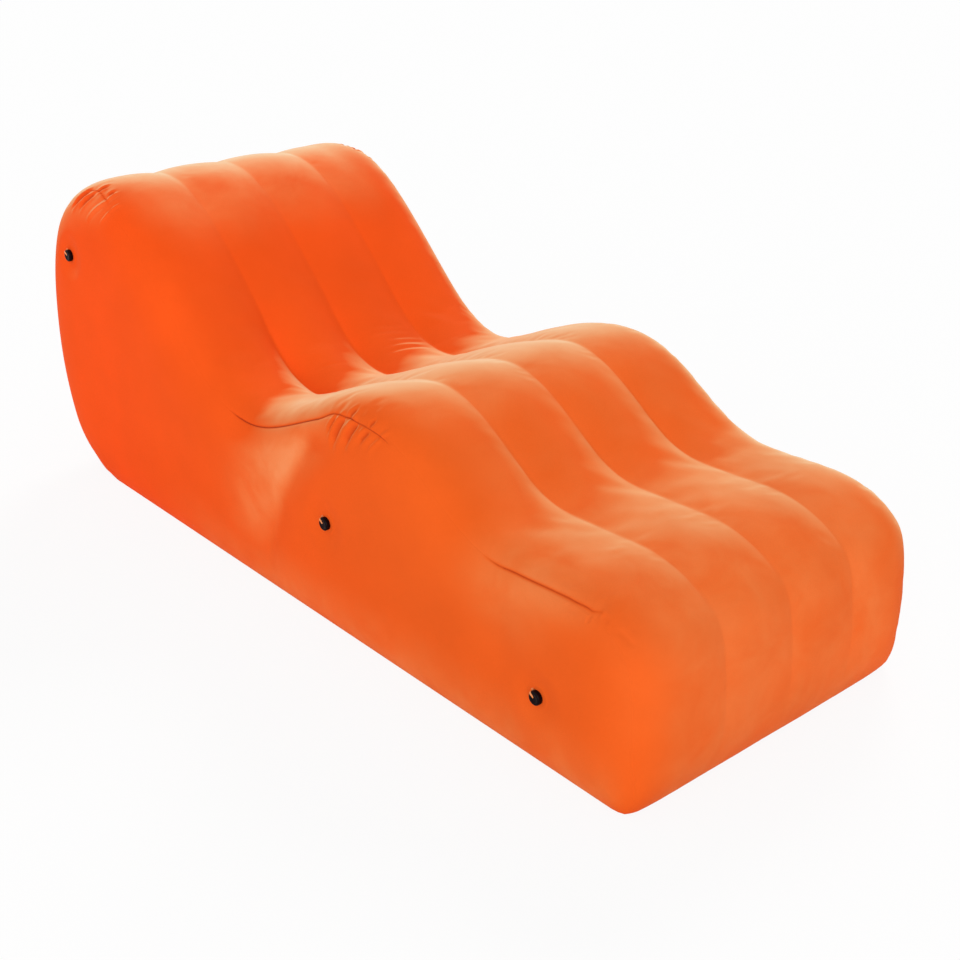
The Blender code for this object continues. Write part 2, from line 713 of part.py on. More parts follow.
def add_webs(partition_lines, air, collection, mat):
    low = BASE_GROOVE_RISE + BASE_SKIN + SEAT_GAP
    high = HEAD_HEIGHT + OVERRUN
    aside = WEB_SKIN / 2 + WEB_END_GAP
    ends = [(BACK_X - OVERRUN, BACK_X - OVERRUN)]
    for top, foot in partition_lines:
        ends.append((line_x(top, foot, low), line_x(top, foot, high)))
    ends.append((-BACK_X + OVERRUN, -BACK_X + OVERRUN))
    feet = PARTITION_FOOT_SHARES
    head_vents = ((along(HEAD_PLACE_SHARE), HEAD_HEIGHT / 2),
                  (along(SEAT_PLACE_SHARE * 3 / 4), SEAT_HEIGHT / 2))
    knee_vents = ((along((feet[0] + KNEE_PLACE_SHARE) / 2), SEAT_HEIGHT / 2),
                  (along((feet[1] + KNEE_PLACE_SHARE) / 2), LEG_HEIGHT / 2))
    foot_vents = ((along((feet[1] + 1) / 2), FOOT_HEIGHT / 2),)
    for chamber, left, right, vents in (("head", ends[0], ends[1], head_vents),
                                        ("knee", ends[1], ends[2], knee_vents),
                                        ("foot", ends[2], ends[3], foot_vents)):
        limits = ((left[0] + aside, left[1] + aside), (right[0] - aside, right[1] - aside))
        outlines = [web_outline(limits, low, high)]
        outlines += [list(reversed(circle_points(VENT_RADIUS, ROUND_SIDES * 2 // 3, vent))) for vent in vents]
        for place, y in zip(("near", "middle", "far"), GROOVE_PLACES):
            name = "web_" + chamber + "_" + place
            sheet = flat_mesh(name, outlines, WEB_SKIN)
            combine(add_object(name, sheet, collection, mat, lift_to_side_plane(y)), air, 'INTERSECT')


def add_partitions(partition_lines, air, collection, mat):
    low = BASE_GROOVE_RISE + BASE_SKIN + SEAT_GAP
    for name, (top, foot) in zip(("partition_seat", "partition_leg"), partition_lines):
        lean = math.atan2(top[0] - foot[0], top[1] - foot[1])
        blank = box_mesh(name, (-WEB_SKIN / 2, -WIDTH / 2, 0.0),
                         (WEB_SKIN / 2, WIDTH / 2, top[1] / math.cos(lean) + OVERRUN))
        bm = bmesh.new()
        bm.from_mesh(blank)
        for vert in bm.verts:
            if vert.co.z == 0.0:
                vert.co.z = low / math.cos(lean) + vert.co.x * math.tan(lean)
        bm.to_mesh(blank)
        bm.free()
        matrix = Matrix.Translation((foot[0], 0.0, foot[1])) @ Matrix.Rotation(lean, 4, 'Y')
        combine(add_object(name, blank, collection, mat, matrix), air, 'INTERSECT')


# Floor sheet
def base_mesh():
    """Flat floor sheet, with a shallow groove where each row of webs is welded to it."""
    x_lines = (FLOOR_X0 + BASE_MARGIN, FLOOR_X0 + BASE_GROOVE_FADE, FLOOR_X1 - BASE_GROOVE_FADE,
               FLOOR_X1 - BASE_MARGIN)
    y_lines = [-SEAM_HALF + BASE_MARGIN]
    for place in GROOVE_PLACES:
        y_lines += [place - BASE_GROOVE_HALF_WIDTH, place, place + BASE_GROOVE_HALF_WIDTH]
    y_lines.append(SEAM_HALF - BASE_MARGIN)
    bm = bmesh.new()
    bmesh.ops.create_grid(bm, x_segments=len(x_lines) - 1, y_segments=len(y_lines) - 1, size=1.0)
    for vert in bm.verts:
        i = round((vert.co.x + 1) / 2 * (len(x_lines) - 1))
        j = round((vert.co.y + 1) / 2 * (len(y_lines) - 1))
        rise = BASE_GROOVE_RISE if i in (1, 2) and j % 3 == 2 else 0.0
        vert.co = Vector((x_lines[i], y_lines[j], rise))
    bm.normal_update()
    bmesh.ops.reverse_faces(bm, faces=list(bm.faces))
    bmesh.ops.triangulate(bm, faces=list(bm.faces), quad_method='FIXED')
    return finish(bm, "base_panel")


# Valves
def valve_frame(centre, swell):
    """Local +Z points out of the side, local +X towards the cap's strap."""
    out = Vector((0.0, -1.0, 0.0))
    turn = math.radians(STRAP_TURN_DEG)
    strap = Vector((-math.cos(turn), 0.0, math.sin(turn)))
    frame = Matrix((strap, out.cross(strap), out)).transposed().to_4x4()
    frame.translation = Vector((centre[0], -(SEAM_HALF + swell), centre[1]))
    return frame


def stem_profile():
    outer = STEM_RADIUS + STEM_BEAD
    rim_low = SEAT_GAP
    rim_high = SEAT_GAP + RIM_THICKNESS
    return [(RIM_RADIUS - EDGE_CHAMFER, rim_high), (RIM_RADIUS, rim_high - EDGE_CHAMFER),
            (RIM_RADIUS, rim_low), (STEM_RADIUS, rim_low), (STEM_RADIUS, STEM_BEAD_HEIGHT - STEM_LENGTH),
            (outer, STEM_BEAD_HEIGHT - STEM_LENGTH), (outer, -STEM_LENGTH), (BORE_RADIUS, -STEM_LENGTH),
            (BORE_RADIUS, rim_high - EDGE_CHAMFER), (BORE_RADIUS + EDGE_CHAMFER, rim_high)]


def flange_profile():
    high = -SKIN - SEAT_GAP
    low = high - FLANGE_THICKNESS
    bore = STEM_RADIUS + STEM_CLEARANCE
    return [(FLANGE_RADIUS - EDGE_CHAMFER, high), (FLANGE_RADIUS, high - EDGE_CHAMFER), (FLANGE_RADIUS, low),
            (bore + SLEEVE_WALL + EDGE_CHAMFER, low), (bore + SLEEVE_WALL, low - EDGE_CHAMFER),
            (bore + SLEEVE_WALL, low - SLEEVE_LENGTH), (bore, low - SLEEVE_LENGTH), (bore, high)]


def cap_profile():
    """Cap without its strap: dished top, rounded edge, skirt round the stem's rim, tapered plug."""
    under = SEAT_GAP + RIM_THICKNESS + SEAT_GAP
    top = under + CAP_THICKNESS
    inner = CAP_RADIUS - SKIRT_WALL
    plug = BORE_RADIUS - PLUG_CLEARANCE
    slope = CAP_ROUND * CAP_ROUND_SHARE
    return [(0.0, top - CAP_DISH), (CAP_DISH_RADIUS, top - CAP_DISH), (CAP_DISH_RADIUS + CAP_DISH, top),
            (CAP_RADIUS - CAP_ROUND, top), (CAP_RADIUS - slope, top - slope), (CAP_RADIUS, top - CAP_ROUND),
            (CAP_RADIUS, under - SKIRT_LENGTH), (inner, under - SKIRT_LENGTH), (inner, under), (plug, under),
            (plug - PLUG_TAPER / 3, under - PLUG_LENGTH * 2 / 3), (plug - PLUG_TAPER, under - PLUG_LENGTH),
            (0.0, under - PLUG_LENGTH)]


def open_turned_mesh(name, profile):
    """Mesh of a piece turned from a profile whose first and last points lie on the axis."""
    bm = bmesh.new()
    line = [bm.verts.new((radius, 0.0, height)) for radius, height in profile]
    for first, second in zip(line[:-1], line[1:]):
        bm.edges.new((first, second))
    bmesh.ops.spin(bm, geom=list(bm.verts) + list(bm.edges), cent=(0.0, 0.0, 0.0), axis=(0.0, 0.0, 1.0),
                   angle=2 * math.pi, steps=ROUND_SIDES, use_merge=True)
    bmesh.ops.remove_doubles(bm, verts=list(bm.verts), dist=MERGE_DISTANCE)
    bmesh.ops.recalc_face_normals(bm, faces=list(bm.faces))
    mesh = bpy.data.meshes.new(name)
    bm.to_mesh(mesh)
    bm.free()
    return mesh


def add_empty(name, matrix, collection, parent=None):
    empty = bpy.data.objects.new(name, None)
    empty.empty_display_size = FLANGE_RADIUS
    collection.objects.link(empty)
    empty.parent = parent
    empty.matrix_world = matrix
    return empty


def add_under(name, mesh, collection, mat, parent, matrix):
    """Object carried by a parent empty, with its own place in the world."""
    obj = add_object(name, mesh, collection, mat)
    obj.parent = parent
    obj.matrix_parent_inverse = parent.matrix_world.inverted()
    obj.matrix_world = matrix
    return obj


def add_valve(place, centre, swell, collection, cutters, mats):
    frame = valve_frame(centre, swell)
    hub = add_empty("valve_" + place, frame, collection)
    bpy.context.view_layer.update()
    flange = turned_mesh("flange", flange_profile())
    add_under("valve_flange_" + place, flange, collection, mats["flange"], hub, frame)

    # Stem: turned tube with a rim, and the lug and post that carry the cap's strap
    under = SEAT_GAP + RIM_THICKNESS + SEAT_GAP
    hinge_height = under + STRAP_THICKNESS / 2
    tube = turned_mesh("stem", stem_profile())
    stem = add_under("valve_stem_" + place, tube, collection, mats["black"], hub, frame)
    post_face = HINGE_RADIUS + HINGE_GAP
    lug = box_mesh("lug", (BORE_RADIUS + 2 * EDGE_CHAMFER, -STRAP_WIDTH / 2, SEAT_GAP + EDGE_CHAMFER / 2),
                   (post_face + POST_THICKNESS, STRAP_WIDTH / 2, SEAT_GAP + RIM_THICKNESS - EDGE_CHAMFER / 2))
    post = box_mesh("post", (post_face, -STRAP_WIDTH / 2 - EDGE_CHAMFER, SEAT_GAP),
                    (post_face + POST_THICKNESS + EDGE_CHAMFER, STRAP_WIDTH / 2 + EDGE_CHAMFER, hinge_height))
    for label, mesh in (("lug", lug), ("post", post)):
        piece = hide_cutter(add_object(label + "_" + place, mesh, cutters, None, frame))
        combine(stem, piece, 'UNION')

    # Cap: origin on the strap's hinge line
    to_hinge = Matrix.Translation((HINGE_RADIUS, 0.0, hinge_height))
    cap_mesh = open_turned_mesh("cap", cap_profile())
    cap_mesh.transform(to_hinge.inverted())
    cap = add_under("valve_cap_" + place, cap_mesh, collection, mats["cap"], hub, frame @ to_hinge)
    slot = box_mesh("slot", (STEM_RADIUS, -STRAP_WIDTH / 2 - 2 * EDGE_CHAMFER, -OVERRUN),
                    (CAP_RADIUS + OVERRUN, STRAP_WIDTH / 2 + 2 * EDGE_CHAMFER, under))
    strap = box_mesh("strap", (CAP_RADIUS - 2 * SKIRT_WALL, -STRAP_WIDTH / 2, under),
                     (HINGE_RADIUS, STRAP_WIDTH / 2, under + STRAP_THICKNESS))
    combine(cap, hide_cutter(add_object("slot_" + place, slot, cutters, None, frame)), 'DIFFERENCE')
    combine(cap, hide_cutter(add_object("strap_" + place, strap, cutters, None, frame)), 'UNION')

    # Check flap under the stem's inner end: origin on its hinge line
    flap_height = -STEM_LENGTH - SEAT_GAP - FLAP_THICKNESS / 2
    half = FLAP_TAB_WIDTH / 2
    root = math.asin(half / FLAP_RADIUS)
    arc = [root + (2 * math.pi - 2 * root) * k / (ROUND_SIDES - 2) for k in range(ROUND_SIDES - 1)]
    outline = [(FLAP_RADIUS * math.cos(a) - FLAP_HINGE_RADIUS, FLAP_RADIUS * math.sin(a)) for a in arc]
    outline += [(0.0, -half), (0.0, half)]
    to_flap = Matrix.Translation((FLAP_HINGE_RADIUS, 0.0, flap_height))
    flap = flat_mesh("flap", [outline], FLAP_THICKNESS)
    add_under("valve_flap_" + place, flap, collection, mats["flap"], hub, frame @ to_flap)

    # Hole in the side sheet for the stem
    depth = SKIN + 2 * VALVE_DIMPLE
    hole = circle_points(STEM_RADIUS + STEM_CLEARANCE, ROUND_SIDES)
    return hide_cutter(add_object("hole_" + place, flat_mesh("hole", [hole], depth), cutters, None, frame))


def smooth(obj, angle_deg=30.0):
    obj.data.shade_smooth()
    obj.data.set_sharp_from_angle(angle=math.radians(angle_deg))


def main():
    clear_scene()
    lounger = new_collection("inflatable_lounger")
    cutters = new_collection("cutters")
    flocked = material("flocked_vinyl", ORANGE, 0.85)
    base_vinyl = material("base_vinyl", BASE_ORANGE, 0.55)
    web_vinyl = material("web_vinyl", MILKY, 0.5)
    mats = {"black": material("black_vinyl", BLACK, 0.3), "cap": material("cap_vinyl", BLACK, 0.2),
            "flange": material("flange_vinyl", CLEAR_ORANGE, 0.4), "flap": material("flap_vinyl", MILKY, 0.4)}

    profile = Profile()
    runs, partition_stations = station_runs(profile)
    rows = top_grid(profile, runs)
    seam = [np.array((row[0].x, row[0].z)) for row in rows]
    floor = floor_places()
    outline = np.array(seam + [np.array((x, 0.0)) for x in reversed(floor[1:-1])])
    upright = sum(BACK_STEPS)
    split = upright + sum(TOP_STEPS)
    partition_floor = [len(outline) - sum(FLOOR_STEPS[:2]), len(outline) - sum(FLOOR_STEPS[:5])]
    partition_lines = [(outline[s], outline[f]) for s, f in zip(partition_stations, partition_floor)]
    loops = side_loops(outline, partition_stations, partition_floor, partition_lines)
    ring = loops[-1]
    count = len(outline)
    bottom = [ring[0]] + [ring[count - j] for j in range(1, len(floor) - 1)] + [ring[split + upright]]
    grid = patch(ring[:upright + 1], ring[upright:split + 1], ring[split:split + upright + 1][::-1],
                 np.array(bottom))
    layout = (outline, loops, grid, split, partition_lines)

    sheets = (("top_panel", top_mesh(rows, SEAM_PULL)),
              ("side_panel_far", side_mesh(layout, 1, SEAM_PULL, False)),
              ("side_panel_near", side_mesh(layout, -1, SEAM_PULL, True)))
    for name, sheet in sheets:
        near = thicken(add_object(name, finish(sheet, name), lounger, flocked), SKIN)
    thicken(add_object("base_panel", base_mesh(), lounger, base_vinyl), BASE_SKIN)

    air = air_space(rows, layout, cutters)
    add_webs(partition_lines, air, lounger, web_vinyl)
    add_partitions(partition_lines, air, lounger, web_vinyl)

    for place, centre in zip(("head", "knee", "foot"), valve_points()):
        swell = side_swell(centre, outline, partition_lines) - VALVE_DIMPLE
        combine(near, add_valve(place, centre, swell, lounger, cutters, mats), 'DIFFERENCE')
    for obj in lounger.objects:
        if obj.type == 'MESH' and not obj.name.startswith(("web_", "partition_")):
            smooth(obj)


main()
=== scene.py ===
"""Visual model of the inflatable wave lounger bed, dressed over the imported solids.

Metres, +Z up, head end at -X, valves in the side at -Y, the same frame as the solids.
"""
import math

import bpy
import numpy as np
from mathutils import Matrix, Vector, geometry, noise


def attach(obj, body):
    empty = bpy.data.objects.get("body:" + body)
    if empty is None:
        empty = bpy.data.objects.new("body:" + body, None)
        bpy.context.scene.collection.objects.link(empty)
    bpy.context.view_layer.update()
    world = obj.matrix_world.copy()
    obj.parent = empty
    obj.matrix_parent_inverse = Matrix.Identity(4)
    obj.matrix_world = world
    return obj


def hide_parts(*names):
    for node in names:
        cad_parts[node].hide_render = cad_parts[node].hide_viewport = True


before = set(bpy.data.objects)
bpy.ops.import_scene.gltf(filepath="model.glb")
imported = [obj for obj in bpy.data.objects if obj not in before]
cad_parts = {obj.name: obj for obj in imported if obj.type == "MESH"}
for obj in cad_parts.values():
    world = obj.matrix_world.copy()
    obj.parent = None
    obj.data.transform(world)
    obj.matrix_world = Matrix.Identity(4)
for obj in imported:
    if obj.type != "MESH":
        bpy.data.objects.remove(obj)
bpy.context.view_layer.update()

# Sizes of the solids that the visual pieces follow
LENGTH = 1.788
SEAM_HALF = 0.3215
SIDE_HALF = 0.346
ROLL_WIDTH = 0.153
BACK_X = -LENGTH / 2
MARKS = ((0.200, 0.0), (0.0, 0.295), (0.263, 0.651), (0.761, 0.345), (1.140, 0.462), (1.486, 0.337),
         (1.611, 0.342), (1.788, 0.154), (1.753, 0.0))
RUN_SHARES = (((0.25, 0.03), (0.48, 0.095), (0.68, 0.20), (0.82, 0.34), (0.96, 0.66)),
              ((0.03, 0.28), (0.12, 0.55), (0.31, 0.79), (0.62, 0.945)),
              ((0.19, 0.075), (0.36, 0.26), (0.51, 0.48), (0.655, 0.705), (0.81, 0.905)),
              ((0.25, 0.18), (0.50, 0.54), (0.74, 0.855)),
              ((0.28, 0.16), (0.53, 0.55), (0.79, 0.925)),
              ((0.60, 0.62),),
              ((0.29, 0.022), (0.55, 0.10), (0.79, 0.25), (0.93, 0.475)),
              ((0.03, 0.33), (0.23, 0.64), (0.60, 0.87)))
GROOVE_LINES = (-ROLL_WIDTH, 0.0, ROLL_WIDTH)
GROOVE_DEPTH = 0.0215
# Landmark's number plus the share of the way to the next one, and share of the groove's depth
GROOVE_SHARES = ((0, 0.0), (1, 0.25), (2, 0.28), (2.4, 0.28), (2.62, 0.40), (2.87, 1.0), (3.0, 0.95),
                 (3.5, 0.60), (4, 0.26), (4.35, 0.60), (4.7, 0.80), (5.0, 0.28), (6.0, 0.28), (6.25, 0.45),
                 (7, 0.20), (7.6, 0.0), (8, 0.0))
GROOVE_BLEND = 0.040
GROOVE_SAMPLES = 1200
GROOVE_SOFT = 0.026
# Run, half width and share by which the near grooves dip deeper in the seat than the far ones
SEAT_LEAN = (1.45, 0.20, 0.35)
# Run, half width and heights of the near and of the far rolls at the head, and their fade at the seam
HEAD_LEAN = (0.92, 0.16, 0.002, -0.008)
HEAD_LEAN_FADE = 0.10
SKIN = 0.0008
BASE_SKIN = 0.0006
WEB_SKIN = 0.0005
WEB_GAP = 0.0012

# Round of the envelope's edge: a superellipse from the crest of the outer roll to the belly of the side
CREST_Y = 0.2187
ROUND_OUT = SIDE_HALF - CREST_Y
ROUND_DOWN = 0.182
ROUND_POWER = 3.45
BULGE_RUN = 0.15
END_ROUND_SHARE = 0.30
END_FADE = (0.22, 0.14)
# Softening of the upright corners: depth, run and fade from the floor, reach from the seam
CORNER_DEPTH = 0.0042
CORNER_RUN = (0.05, 0.10)
CORNER_REACH = 0.028

# Partitions: x at the floor, x and height at the side seam
PARTITIONS = ((-0.0501, 0.0, 0.330), (0.6001, 0.6001, 0.306))
VENTS = {"head": ((-0.631, 0.3255), (-0.3233, 0.1725)), "knee": ((0.098, 0.1725), (0.423, 0.1685)),
         "foot": ((0.747, 0.171),)}
VENT_RADIUS = 0.030

# Valves: place, x, z and distance of the pad from the middle plane
VALVES = (("head", -0.730934, 0.492026, 0.339755), ("knee", 0.145007, 0.218018, 0.341),
          ("foot", 0.681943, 0.133004, 0.340988))
HOLE_RADIUS = 0.0070


# Side profile
def smooth_path(points, samples):
    """Cubic curve with even curvature through the points."""
    points = np.array(points)
    delta = np.diff(points, axis=0)
    step = np.sqrt(np.hypot(*delta.T))
    slope = delta / step[:, None]
    count = len(points)
    system = np.zeros((count, count))
    right = np.zeros((count, 2))
    system[0, 0] = 1.0
    right[0] = np.array((-1.0, 0.0)) * np.hypot(*slope[0])
    for i in range(1, count - 1):
        system[i, i - 1:i + 2] = step[i], 2 * (step[i - 1] + step[i]), step[i - 1]
        right[i] = 3 * (step[i] * slope[i - 1] + step[i - 1] * slope[i])
    system[-1, -2:] = 1.0, 2.0
    right[-1] = 3 * slope[-1]
    tangent = np.linalg.solve(system, right)
    t = (np.arange(samples) / samples)[:, None]
    out = []
    for i in range(count - 1):
        out.append(points[i] * (1 + 2 * t) * (1 - t) ** 2 + points[i + 1] * t * t * (3 - 2 * t)
                   + tangent[i] * step[i] * t * (1 - t) ** 2 - tangent[i + 1] * step[i] * t * t * (1 - t))
    return np.vstack(out + [points[-1:]])


def profile_knots():
    marks = [(BACK_X + x, z) for x, z in MARKS]
    points = []
    index = []
    for start, end, shares in zip(marks[:-1], marks[1:], RUN_SHARES):
        index.append(len(points))
        points.append(start)
        for along, fall in shares:
            points.append((start[0] + (end[0] - start[0]) * along, start[1] + (end[1] - start[1]) * fall))
    return points + [marks[-1]], index + [len(points)]


PATH_SAMPLES = 60
KNOTS, KNOT_INDEX = profile_knots()
PATH = smooth_path(KNOTS, PATH_SAMPLES)
PATH[:, 1] = np.maximum(PATH[:, 1], 0.0)
PATH_RUN = np.concatenate(([0.0], np.cumsum(np.hypot(*np.diff(PATH, axis=0).T))))
PATH_HEADING = np.unwrap(np.arctan2(np.gradient(PATH[:, 1]), np.gradient(PATH[:, 0])))
MARK_RUNS = np.array([PATH_RUN[i * PATH_SAMPLES] for i in KNOT_INDEX])
TOTAL_RUN = PATH_RUN[-1]


def smoothed(values, reach):
    """Row of values, each blended with those up to reach places away."""
    kernel = np.hanning(2 * reach + 3)
    return np.convolve(np.pad(values, reach + 1, mode='edge'), kernel / kernel.sum(), mode='valid')


def groove_table():
    """Depth of the middle groove at even runs, blended along the wave."""
    places, shares = zip(*GROOVE_SHARES)
    runs = np.linspace(0.0, TOTAL_RUN, GROOVE_SAMPLES)
    depth = GROOVE_DEPTH * np.interp(runs, np.interp(places, range(len(MARK_RUNS)), MARK_RUNS), shares)
    return runs, smoothed(depth, int(GROOVE_BLEND / runs[1]))


GROOVE_RUNS, GROOVE_TABLE = groove_table()


def bell(run, place, half):
    return np.exp(-((run - place) / half) ** 2)


def groove_depth(run, y):
    place, half, share = SEAT_LEAN
    uneven = 1 - share * bell(run, place, half) * np.clip(y / ROLL_WIDTH, -1.0, 1.0)
    return np.interp(run, GROOVE_RUNS, GROOVE_TABLE) * uneven


def lean_height(run, y):
    """Height that the uneven head adds to the near and to the far rolls."""
    place, half, near, far = HEAD_LEAN
    height = np.where(y < 0, near, far) * np.abs(y) / CREST_Y
    return height * bell(run, place, half) * smoothstep((SEAM_HALF - np.abs(y)) / HEAD_LEAN_FADE)


def smoothstep(t):
    t = np.clip(t, 0.0, 1.0)
    return t * t * (3 - 2 * t)


def smooth_interp(x, places, values):
    """Value between places, level at each of them."""
    i = np.clip(np.searchsorted(places, x, side='right') - 1, 0, len(places) - 2)
    low = np.asarray(places)[i]
    high = np.asarray(places)[i + 1]
    values = np.asarray(values)
    return values[i] + (values[i + 1] - values[i]) * smoothstep((x - low) / (high - low))


def joined(*parts):
    """Points from their coordinates, of which some may be single numbers."""
    return np.stack(np.broadcast_arrays(*parts), axis=-1)


def path_place(run):
    return joined(np.interp(run, PATH_RUN, PATH[:, 0]), np.interp(run, PATH_RUN, PATH[:, 1]))


def path_outward(run):
    angle = np.interp(run, PATH_RUN, PATH_HEADING)
    return joined(-np.sin(angle), np.cos(angle))


def run_at_x(x):
    first = int(np.argmin(PATH[:, 0]))
    last = int(np.argmax(PATH[:, 0]))
    return float(np.interp(x, PATH[first:last, 0], PATH_RUN[first:last]))


# Relief of the skin by the run of the side seam and the way s from it, which is positive on the top sheet.
# Crease along the seam: first and last run, share of the full depth, length of the fade at its ends
CREASES = ((0.828, 0.950, 0.75, 0.030), (1.455, 1.985, 1.0, 0.045), (2.225, 2.480, 0.85, 0.040))
CREASE_LINE = ((0.75, 0.010), (0.836, 0.017), (0.88, 0.017), (0.93, 0.010), (0.97, 0.002), (1.20, 0.0),
               (1.74, 0.0), (1.788, 0.0045), (1.84, 0.001), (1.88, -0.003), (1.93, -0.004), (1.976, -0.004),
               (2.10, 0.0), (2.25, -0.001), (2.29, 0.001), (2.374, 0.0015), (2.41, 0.002), (2.454, 0.004),
               (2.472, 0.009), (2.60, 0.0))
CREASE_WIDE = (0.0018, 0.0080)
CREASE_FINE = (0.0012, 0.0014)
# Painted shade in the seam's crease and in the fold hollows, where they shade themselves: reach from a
# crease, a fold's share, width and least depth, and how sharply its colour ends
CREASE_SHADE_REACH = 0.0022
FOLD_SHADE_SHARE = 0.88
FOLD_SHADE_WIDTH = 2.2
FOLD_SHADE_FROM = -0.0018
CREASE_SHADE_POWER = 6.0

# Folds that cross the seam: run and s of both ends, half width, height
FOLDS = ((1.803, 0.000, 1.784, -0.024, 0.0046, -0.0028), (1.829, 0.000, 1.797, -0.045, 0.0068, -0.0068),
         (1.851, -0.002, 1.820, -0.052, 0.0050, 0.0020), (1.873, -0.003, 1.842, -0.044, 0.0064, -0.0062),
         (1.897, -0.006, 1.869, -0.044, 0.0048, 0.0018), (1.915, -0.006, 1.893, -0.034, 0.0050, -0.0026),
         (1.951, -0.006, 1.928, -0.040, 0.0046, 0.0018),
         (1.840, 0.001, 1.856, 0.015, 0.0044, -0.0022), (1.906, -0.002, 1.916, 0.010, 0.0038, -0.0019),
         (1.946, -0.003, 1.958, 0.008, 0.0034, 0.0014),
         (0.852, 0.015, 0.788, -0.010, 0.0048, -0.0034), (0.882, 0.012, 0.834, -0.017, 0.0046, -0.0032),
         (0.934, 0.006, 0.882, -0.039, 0.0046, 0.0022), (0.968, 0.001, 0.957, -0.027, 0.0042, 0.0016),
         (0.882, 0.016, 0.900, 0.036, 0.0042, -0.0022), (0.925, 0.016, 0.931, 0.031, 0.0036, -0.0019),
         (0.936, 0.006, 0.941, 0.033, 0.0036, 0.0018), (0.967, 0.004, 0.975, 0.021, 0.0036, 0.0014),
         (2.402, -0.007, 2.432, -0.009, 0.0036, -0.0012), (2.456, -0.002, 2.462, -0.009, 0.0036, -0.0014),
         (2.478, 0.009, 2.492, 0.005, 0.0036, -0.0014), (2.512, 0.010, 2.552, 0.013, 0.0040, -0.0014),
         (2.374, 0.011, 2.412, 0.011, 0.0038, 0.0010), (2.470, 0.012, 2.476, 0.003, 0.0030, 0.0009))

# Wrinkles across the rolls: run and y of both ends, half width, height
WRINKLES = ((1.463, 0.043, 1.476, 0.136, 0.0050, -0.0016), (1.447, 0.056, 1.454, 0.146, 0.0046, -0.0011),
            (1.431, 0.073, 1.433, 0.126, 0.0040, -0.0007), (1.405, 0.048, 1.419, 0.129, 0.0046, -0.0009),
            (1.448, -0.112, 1.459, -0.064, 0.0046, -0.0010))

# Fades at a stroke's start and end, by the share of its length, and share, place and width of its banks
STROKE_START = (-0.12, 0.30)
STROKE_END = (1.12, 0.45)
STROKE_BANKS = (0.42, 1.9, 0.9)


def crease_share(run):
    total = np.zeros_like(run)
    for first, last, share, fade in CREASES:
        total += share * smoothstep((run - first) / fade) * smoothstep((last - run) / fade)
    return total


def from_crease(run, s):
    runs, places = zip(*CREASE_LINE)
    return np.abs(s - smooth_interp(run, runs, places))


def crease_depth(run, s):
    gap = from_crease(run, s)
    wide, fine = (depth * np.exp(-gap / reach) for depth, reach in (CREASE_WIDE, CREASE_FINE))
    return crease_share(run) * (wide + fine)


def crease_shade_share(run, s):
    """Share of painted shade at a point, in the crease and in the folds' hollows."""
    share = crease_share(run) ** (1 / CREASE_SHADE_POWER) * np.exp(-(from_crease(run, s) / CREASE_SHADE_REACH) ** 2)
    for fold in FOLDS:
        if fold[-1] < FOLD_SHADE_FROM:
            aside, fade = stroke_place(fold, run, s)
            share = np.maximum(share, FOLD_SHADE_SHARE * np.exp(-(aside / FOLD_SHADE_WIDTH) ** 2) * fade)
    return share


def stroke_place(stroke, run, s):
    """Way aside from a stroke in its half widths, and its fade at both ends."""
    run0, s0, run1, s1, half, _ = stroke
    length = math.hypot(run1 - run0, s1 - s0)
    way = (run1 - run0) / length, (s1 - s0) / length
    on = ((run - run0) * way[0] + (s - s0) * way[1]) / length
    aside = np.abs((run - run0) * way[1] - (s - s0) * way[0]) / half
    starting = smoothstep((on - STROKE_START[0]) / STROKE_START[1])
    return aside, starting * smoothstep((STROKE_END[0] - on) / STROKE_END[1])


def stroke_height(strokes, run, s):
    """Height of drawn strokes, each a rounded line between two hollows, or the reverse."""
    total = np.zeros_like(run)
    bank, place, half = STROKE_BANKS
    for stroke in strokes:
        aside, fade = stroke_place(stroke, run, s)
        total += stroke[-1] * fade * (bell(aside, 0.0, 1.0) - bank * bell(aside, place, half))
    return total


# Uneven skin: height, frequency, fade at the edges, and share, frequency and shift of the finer swells
LUMP_HEIGHT = 0.0009
LUMP_SCALE = 6.0
LUMP_FADE = 0.04
LUMP_FINE = (0.35, 19.0, (3.1, 7.7, 1.9))


def lumps(points):
    """Smooth uneven field of about -1 to 1 over points: broad swells with finer ones on them."""
    share, scale, shift = LUMP_FINE
    return np.array([noise.noise(spot * LUMP_SCALE) + share * noise.noise(spot * scale + Vector(shift))
                     for spot in map(Vector, points.tolist())])


def round_normal(out_share, up_share):
    """Parts of the side's and of the profile's outward directions in the normal of the rounded edge."""
    aside = out_share ** (ROUND_POWER - 1) / ROUND_OUT
    upward = up_share ** (ROUND_POWER - 1) / ROUND_DOWN
    size = np.hypot(aside, upward)
    return aside / size, upward / size


def corner_depth(run, gap):
    """Softening of the upright corners close to the floor."""
    from_end = np.minimum(run, TOTAL_RUN - run)
    low = 1 - smoothstep((from_end - CORNER_RUN[0]) / CORNER_RUN[1])
    return CORNER_DEPTH * low * np.clip(1 - gap / CORNER_REACH, 0.0, 1.0) ** 2


# Top sheet
def sag_share(y):
    """Share of the groove's depth at a line y of the top sheet."""
    y = np.abs(y)
    inner = np.abs((y % ROLL_WIDTH) / ROLL_WIDTH - 0.5) * 2
    outer = np.clip((CREST_Y - y) / (CREST_Y - ROLL_WIDTH), 0.0, 1.0)
    share = np.where(y > ROLL_WIDTH, outer, inner)
    return (np.sqrt((1 - share) ** 2 + GROOVE_SOFT ** 2) - 1 - GROOVE_SOFT) ** 2


def edge_shares(y):
    out = np.clip((np.abs(y) - CREST_Y) / ROUND_OUT, 0.0, 0.999)
    return out, (1 - out ** ROUND_POWER) ** (1 / ROUND_POWER)


def end_fade(run):
    rise = smoothstep(run / END_FADE[0]) * smoothstep((TOTAL_RUN - run) / END_FADE[1])
    return END_ROUND_SHARE + (1 - END_ROUND_SHARE) * rise


